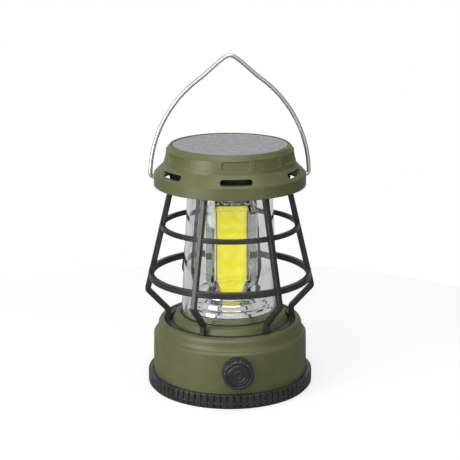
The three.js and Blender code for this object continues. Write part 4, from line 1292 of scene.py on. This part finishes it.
keptFinishes = {  # nodes that keep their own mesh
    "battery_tray": greyPlastic, "control_board": circuitBoard, "dimmer": aluminium,
    "dimmer_shaft": aluminium, "dimmer_nut": screwSteel,
}
buildCells()
for node, material in keptFinishes.items():
    mesh = frame["nodes"][node].data
    mesh.materials.clear()
    mesh.materials.append(material)
print("insides finished")


studio = {
    "floorRadius": 0.32, "floorDark": 0.38, "floorLight": 0.40, "floorSeen": 0.72, "floorSeenThrough": 0.42,
    "aim": 0.11719, "distance": 0.98127, "elevation": 14.7257, "azimuth": -5.2, "lens": 104.12,
    "lamps": (  # name, azimuth, elevation, distance, width, height, power
        ("leftBox", -54, 14, 1.1, 0.50, 0.9, 6.4),
        ("frontBox", -10, 38, 1.2, 0.8, 0.6, 4.2),
        ("topBox", 0, 80, 1.0, 0.7, 0.7, 2.4),
    ),
    "surround": (  # azimuth and brightness of what the glossy pieces reflect, from the back round by the left
        (-180, 0.50), (-150, 0.45), (-125, 0.16), (-80, 0.25), (-60, 0.80), (-40, 0.80), (-22, 0.34),
        (12, 0.34), (24, 1.0), (36, 0.9), (50, 0.25), (90, 0.12), (130, 0.12), (155, 0.45), (180, 0.50),
    ),
    "overhead": 0.45, "ambient": 0.30, "seenThrough": 0.74,
}


def onSphere(azimuth, elevation, distance, height):
    a, e = math.radians(azimuth), math.radians(elevation)
    out = distance * math.cos(e)
    return Vector((out * math.sin(a), -out * math.cos(a), height + distance * math.sin(e)))


def aimAt(obj, target):
    obj.rotation_euler = (target - obj.location).to_track_quat("-Z", "Y").to_euler()


def buildFloor():
    rim = studio["floorRadius"] / mm
    floor = workpiece("floor", lathe([(0, -0.05), (rim, -0.05), (rim, -1), (0, -1)], round192, closed=False))
    floor.data.transform(Matrix.Scale(mm, 4))
    material, tree, shader, _ = newMaterial("paleFloor")
    grain = useEffect(tree, mouldGrain, fineness=300, patch=8)
    dark, light = (studio["floorDark"],) * 3, (studio["floorLight"],) * 3
    tree.links.new(blendColour(tree, grain.outputs["mottle"], dark, light), shader.inputs["Base Color"])
    shader.inputs["Roughness"].default_value = 0.9
    shader.inputs["Specular IOR Level"].default_value = 0.1
    path = addNode(tree, "LightPath")
    behind = calc(tree, "MULTIPLY", path.outputs["Is Transmission Ray"], studio["floorSeenThrough"])
    seen = calc(tree, "MULTIPLY", path.outputs["Is Camera Ray"], studio["floorSeen"])
    shader.inputs["Emission Color"].default_value = (1, 1, 1, 1)
    tree.links.new(calc(tree, "ADD", seen, behind), shader.inputs["Emission Strength"])
    floor.data.materials.append(material)


def buildSky():
    # white where the camera sees it; glossy pieces reflect the surround, and the rest gets an even light
    world = bpy.data.worlds.new("studioSky")
    bpy.context.scene.world = world
    world.use_nodes = True
    tree = world.node_tree
    tree.nodes.clear()
    way = addNode(tree, "SeparateXYZ", {0: addNode(tree, "TexCoord").outputs["Generated"]})
    turn = calc(tree, "ARCTAN2", way.outputs["X"], calc(tree, "MULTIPLY", way.outputs["Y"], -1.0))
    ramp = addNode(tree, "ValToRGB", {0: between(tree, turn, -math.pi, math.pi, 0, 1)})
    points = ramp.color_ramp.elements
    for k, (azimuth, level) in enumerate(studio["surround"]):
        point = points[k] if k < 2 else points.new(0.999)
        point.position = (azimuth + 180) / 360
        point.color = (level, level, level, 1)
    up = between(tree, calc(tree, "ABSOLUTE", way.outputs["Z"]), 0.45, 0.85, 0, 1)
    overhead = (studio["overhead"],) * 3
    glossy = blendColour(tree, up, ramp.outputs[0], overhead)
    path = addNode(tree, "LightPath")
    soft = blendColour(tree, path.outputs["Is Diffuse Ray"], glossy, (studio["ambient"],) * 3)
    through = blendColour(tree, path.outputs["Is Transmission Ray"], soft, (studio["seenThrough"],) * 3)
    colour = blendColour(tree, path.outputs["Is Camera Ray"], through, (1.0, 1.0, 1.0))
    background = addNode(tree, "Background", {"Color": colour, "Strength": 1.0})
    addNode(tree, "OutputWorld", {"Surface": background.outputs[0]})


def buildLamps():
    for name, azimuth, elevation, distance, width, height, power in studio["lamps"]:
        light = bpy.data.lights.new(name, "AREA")
        light.shape = "RECTANGLE"
        light.size = width
        light.size_y = height
        light.energy = power
        lamp = bpy.data.objects.new(name, light)
        lamp.location = onSphere(azimuth, elevation, distance, studio["aim"])
        aimAt(lamp, Vector((0, 0, studio["aim"])))
        lamp.visible_camera = False
        bpy.context.scene.collection.objects.link(lamp)


def buildCamera():
    data = bpy.data.cameras.new("camera")
    data.lens = studio["lens"]
    data.sensor_width = 36
    camera = bpy.data.objects.new("camera", data)
    camera.location = onSphere(studio["azimuth"], studio["elevation"], studio["distance"], studio["aim"])
    aimAt(camera, Vector((0, 0, studio["aim"])))
    bpy.context.scene.collection.objects.link(camera)
    bpy.context.scene.camera = camera


buildFloor()
buildSky()
buildLamps()
buildCamera()
bpy.context.scene.view_settings.view_transform = "Standard"
print("studio ready")
